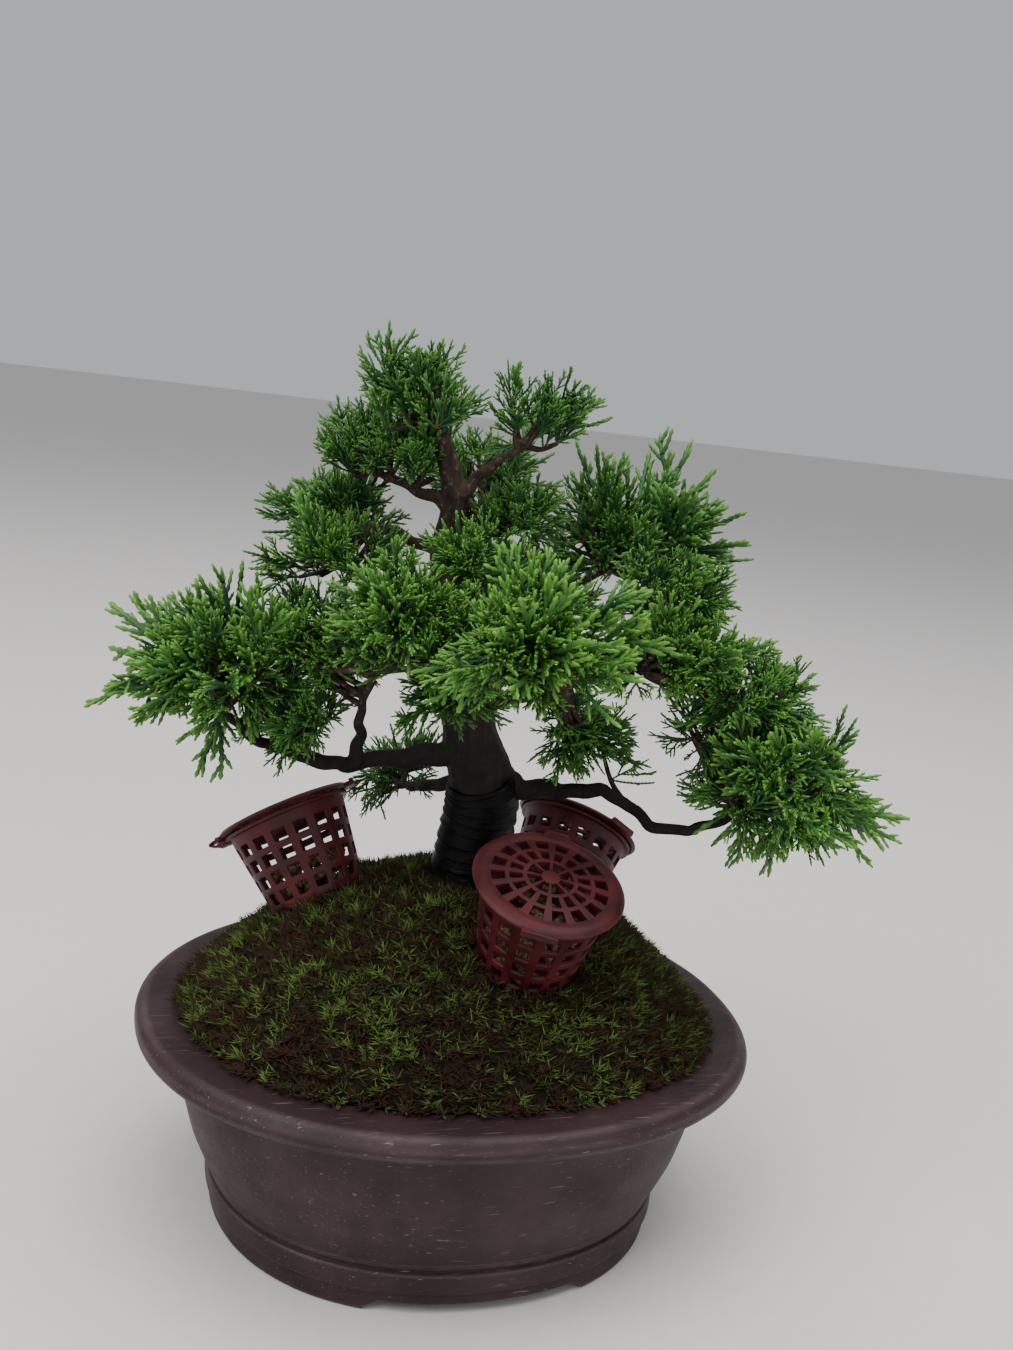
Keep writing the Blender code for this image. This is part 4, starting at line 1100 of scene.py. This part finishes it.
def moulded(mesh, thickness, offset, blocks):
    """A thin moulding: the surface made solid, its blocks added, its edges softened."""
    holder = bpy.data.objects.new("moulding", mesh)
    bpy.context.scene.collection.objects.link(holder)
    modifier(holder, "SOLIDIFY", thickness=thickness * MM, offset=offset, use_even_offset=True)
    applied(holder)
    bm = bmesh.new()
    bm.from_mesh(holder.data)
    for low, high in blocks:
        block(bm, low, high)
    bm.to_mesh(holder.data)
    bm.free()
    modifier(holder, "BEVEL", width=0.16 * MM, segments=2, limit_method="ANGLE",
             angle_limit=math.radians(40))
    result = applied(holder)
    bpy.data.objects.remove(holder, do_unlink=True)
    result.shade_smooth()
    result.set_sharp_from_angle(angle=math.radians(50))
    return result


def cup_mesh():
    """The cup in the basket's own frame: a pierced wall, a closed foot, a rim and a hinge lug."""
    under_rim = CUP_HEIGHT - CUP_WALL
    heights = [0.0, FOOT_BAND]
    for _ in range(CUP_ROWS):
        heights += [heights[-1] + HOLE_HEIGHT, heights[-1] + HOLE_HEIGHT + HOLE_BAR]
    heights[-1] = under_rim
    levels = [circle(cup_radius(z), z) for z in heights]
    levels.append(circle(CUP_TOP_RADIUS + RIM_WIDTH, under_rim))
    mesh = pierced(levels, lambda row, i: row in (1, 3, 5, 7) and i % 2 == 1, floor=True)
    lug = ((-HINGE_WIDTH / 2, CUP_TOP_RADIUS - 0.4, under_rim - 0.4),
           (HINGE_WIDTH / 2, LID_RADIUS + HINGE_REACH, CUP_HEIGHT - 0.1))
    offset = -facing(mesh, Vector((0, 0, under_rim * MM / 2)))
    return moulded(mesh, CUP_WALL, offset, [lug])


def lid_mesh():
    """The lid in the basket's own frame, closed on the cup: rings, spokes, bead, tab and latch."""
    # share of the radius, and how far the bead round the edge stands up
    rings = ((0.13, 0), (0.32, 0), (0.38, 0), (0.56, 0), (0.62, 0), (0.81, 0), (0.86, 0.1),
             (0.89, 0.45), (0.96, 0.45), (0.995, 0.1), (1.0, 0))
    bottom = CUP_HEIGHT + LID_GAP
    levels = [circle(LID_RADIUS * r, bottom + LID_DOME * (1 - r * r) + bead) for r, bead in rings]

    def is_hole(row, i):
        """Eight wide slots round the boss, then two rings of holes between the spokes."""
        if row == 0:
            return i % 4 != 0
        return row in (2, 4) and i % 2 == 1

    mesh = pierced(levels, is_hole, floor=True)
    inner, top = LID_RADIUS - 1.5, bottom + LID_THICKNESS
    blocks = [
        ((-HINGE_WIDTH / 2, inner, bottom), (HINGE_WIDTH / 2, LID_RADIUS + HINGE_REACH, top)),
        ((-LATCH_WIDTH / 2, -LID_RADIUS - LATCH_REACH, bottom), (LATCH_WIDTH / 2, -inner, top)),
        ((-LATCH_WIDTH / 2, -LID_RADIUS - LATCH_REACH, top - 0.2),
         (LATCH_WIDTH / 2, -LID_RADIUS - LATCH_REACH + 0.9, top + 0.5)),
    ]
    return moulded(mesh, LID_THICKNESS, facing(mesh, Vector((0, 0, -1))), blocks)


def strap_arrays():
    """The hinge strap: a thin band that loops out from the cup's lug back to the lid's tab."""
    reach = LID_RADIUS + HINGE_REACH
    middle = CUP_HEIGHT + LID_GAP / 2
    bulge, rise, tail = 2.6, 0.75, 2.5
    angle = np.linspace(-np.pi / 2, np.pi / 2, 17)
    loop = np.stack([reach - 0.5 + bulge * np.cos(angle), middle + rise * np.sin(angle)], axis=1)
    loop = np.vstack([[reach - tail, middle - rise], loop, [reach - tail, middle + rise]])
    along = np.gradient(loop, axis=0)
    along /= np.linalg.norm(along, axis=1)[:, None]
    normal = np.stack([along[:, 1], -along[:, 0]], axis=1)
    half, thick = HINGE_WIDTH / 2 - 0.6, STRAP_THICKNESS / 2
    rings = []
    for (y, z), (ny, nz) in zip(loop, normal):
        rings.append([(x, y + side * thick * ny, z + side * thick * nz)
                      for x, side in ((-half, 1), (half, 1), (half, -1), (-half, -1))])
    verts = np.array(rings).reshape(-1, 3)
    last = len(verts)
    caps = [[3, 2, 1, 0], [last - 4, last - 3, last - 2, last - 1]]
    return verts, np.vstack([ring_faces(len(rings), 4), caps])


def make_baskets():
    """The three baskets: cup, lid on its own body, strap between the two, and pellets."""
    cup, lid = cup_mesh(), lid_mesh()
    strap_verts, strap_faces = strap_arrays()
    for name in BASKETS:
        matrix = basket_matrix(name)
        body = f"lid_{name}"
        cup_copy, lid_copy = cup.copy(), lid.copy()
        cup_copy.transform(matrix)
        lid_copy.transform(matrix)
        obj = show(f"cup_{name}", cup_copy, PLASTIC)
        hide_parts(f"basket_{name}")
        obj = show(f"lattice_lid_{name}", lid_copy, PLASTIC, body)
        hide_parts(f"lid_{name}")
        turn = np.array(matrix)
        moved = strap_verts @ turn[:3, :3].T + turn[:3, 3] / MM
        strap = piece(f"strap_{name}", moved, strap_faces, PLASTIC, body=None)
        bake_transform(strap)
        make_pellets(name, turn)


def make_pellets(name, turn):
    """Loose pellets in the lower half of a cup."""
    places = []
    while len(places) < PELLETS_A_CUP:
        z = RNG.uniform(2.4, 12.0)
        radius = math.sqrt(RNG.uniform(0, 1)) * (cup_radius(z) - 3.4)
        angle = RNG.uniform(0, 2 * np.pi)
        spot = np.array([radius * math.cos(angle), radius * math.sin(angle), z])
        if all(np.linalg.norm(spot - other) > 2.6 for other in places):
            places.append(spot)
    sizes = RNG.uniform(1.4, 2.0, len(places))
    verts, faces = scatter_lumps(places, sizes, 3, 0.35)
    verts = verts @ turn[:3, :3].T + turn[:3, 3] / MM
    heap = piece(f"pellets_{name}", verts, faces, PELLETS)
    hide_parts(f"fertiliser_{name}")


# ---------------------------------------------------------------- room, light and camera

def make_room():
    """A plain pale board to stand on and an even pale sky."""
    material, tree, shader, place = surface("pale_matte_board", Roughness=0.8)
    tooth = add(tree, "ShaderNodeTexNoise", {"Vector": place, "Scale": per(6), "Detail": 3.0})
    colour = add(tree, "ShaderNodeMix", {0: tooth.outputs[0], 6: linear("#d8d4d0"),
                                         7: linear("#dfdbd8")}, data_type="RGBA")
    finish_surface(tree, shader, colour.outputs[2])
    bpy.ops.mesh.primitive_plane_add(size=40.0, location=(0, 0, 0))
    floor = bpy.context.object
    floor.name = "floor"
    floor.data.materials.append(material)
    world = bpy.data.worlds.new("studio")
    bpy.context.scene.world = world
    world.use_nodes = True
    world.node_tree.nodes["Background"].inputs[0].default_value = linear("#e2e4e8")
    world.node_tree.nodes["Background"].inputs[1].default_value = 0.65


def make_light(name, place, size, watts):
    """A soft round light turned towards the middle of the tree."""
    lamp = bpy.data.lights.new(name, "AREA")
    lamp.shape = "DISK"
    lamp.size = size
    lamp.energy = watts
    obj = bpy.data.objects.new(name, lamp)
    bpy.context.scene.collection.objects.link(obj)
    obj.location = place
    obj.rotation_euler = (Vector((0, 0, 0.12)) - Vector(place)).to_track_quat("-Z", "Y").to_euler()


def make_camera():
    """Low in front of the tree and a little to its left, looking down and slightly tilted."""
    camera = bpy.data.objects.new("camera", bpy.data.cameras.new("camera"))
    bpy.context.scene.collection.objects.link(camera)
    heading, pitch, roll = (math.radians(a) for a in CAMERA_TURN)
    turn = (Matrix.Rotation(-heading, 4, "Z") @ Matrix.Rotation(math.pi / 2 - pitch, 4, "X")
            @ Matrix.Rotation(roll, 4, "Z"))
    camera.matrix_world = Matrix.Translation(Vector(CAMERA_PLACE) * MM) @ turn
    camera.data.sensor_width = 36.0
    camera.data.lens = 34.7
    camera.data.clip_start = 0.01
    bpy.context.scene.camera = camera


STONEWARE, LEAVES, BARK, TAPE = stoneware(), scale_leaves(), bark(), black_tape()
MOSS, MOSS_BED, SOIL = moss_green(), moss_bed(), soil_grains()
PLASTIC, PELLETS = maroon_plastic(), pellets()
SCREEN, WIRE = black_mesh(), bonsai_wire()

for node, finish in (("soil", SOIL), ("drain_screen_left", SCREEN), ("drain_screen_right", SCREEN),
                     ("screen_clip_left", WIRE), ("screen_clip_right", WIRE)):
    cad_mesh = frame["nodes"][node].data
    cad_mesh.materials.clear()
    cad_mesh.materials.append(finish)

make_camera()
make_room()
make_light("sky_left", (-0.9, -0.5, 1.2), 1.0, 14.0)
make_light("sky_top", (0.1, -0.1, 1.5), 1.4, 20.0)
make_light("front_fill", (0.5, -1.2, 0.6), 0.9, 2.5)
make_pot()
make_moss()
make_soil_crumbs()
branch_lines = make_wood()
make_wrap()
make_foliage(branch_lines)
make_baskets()
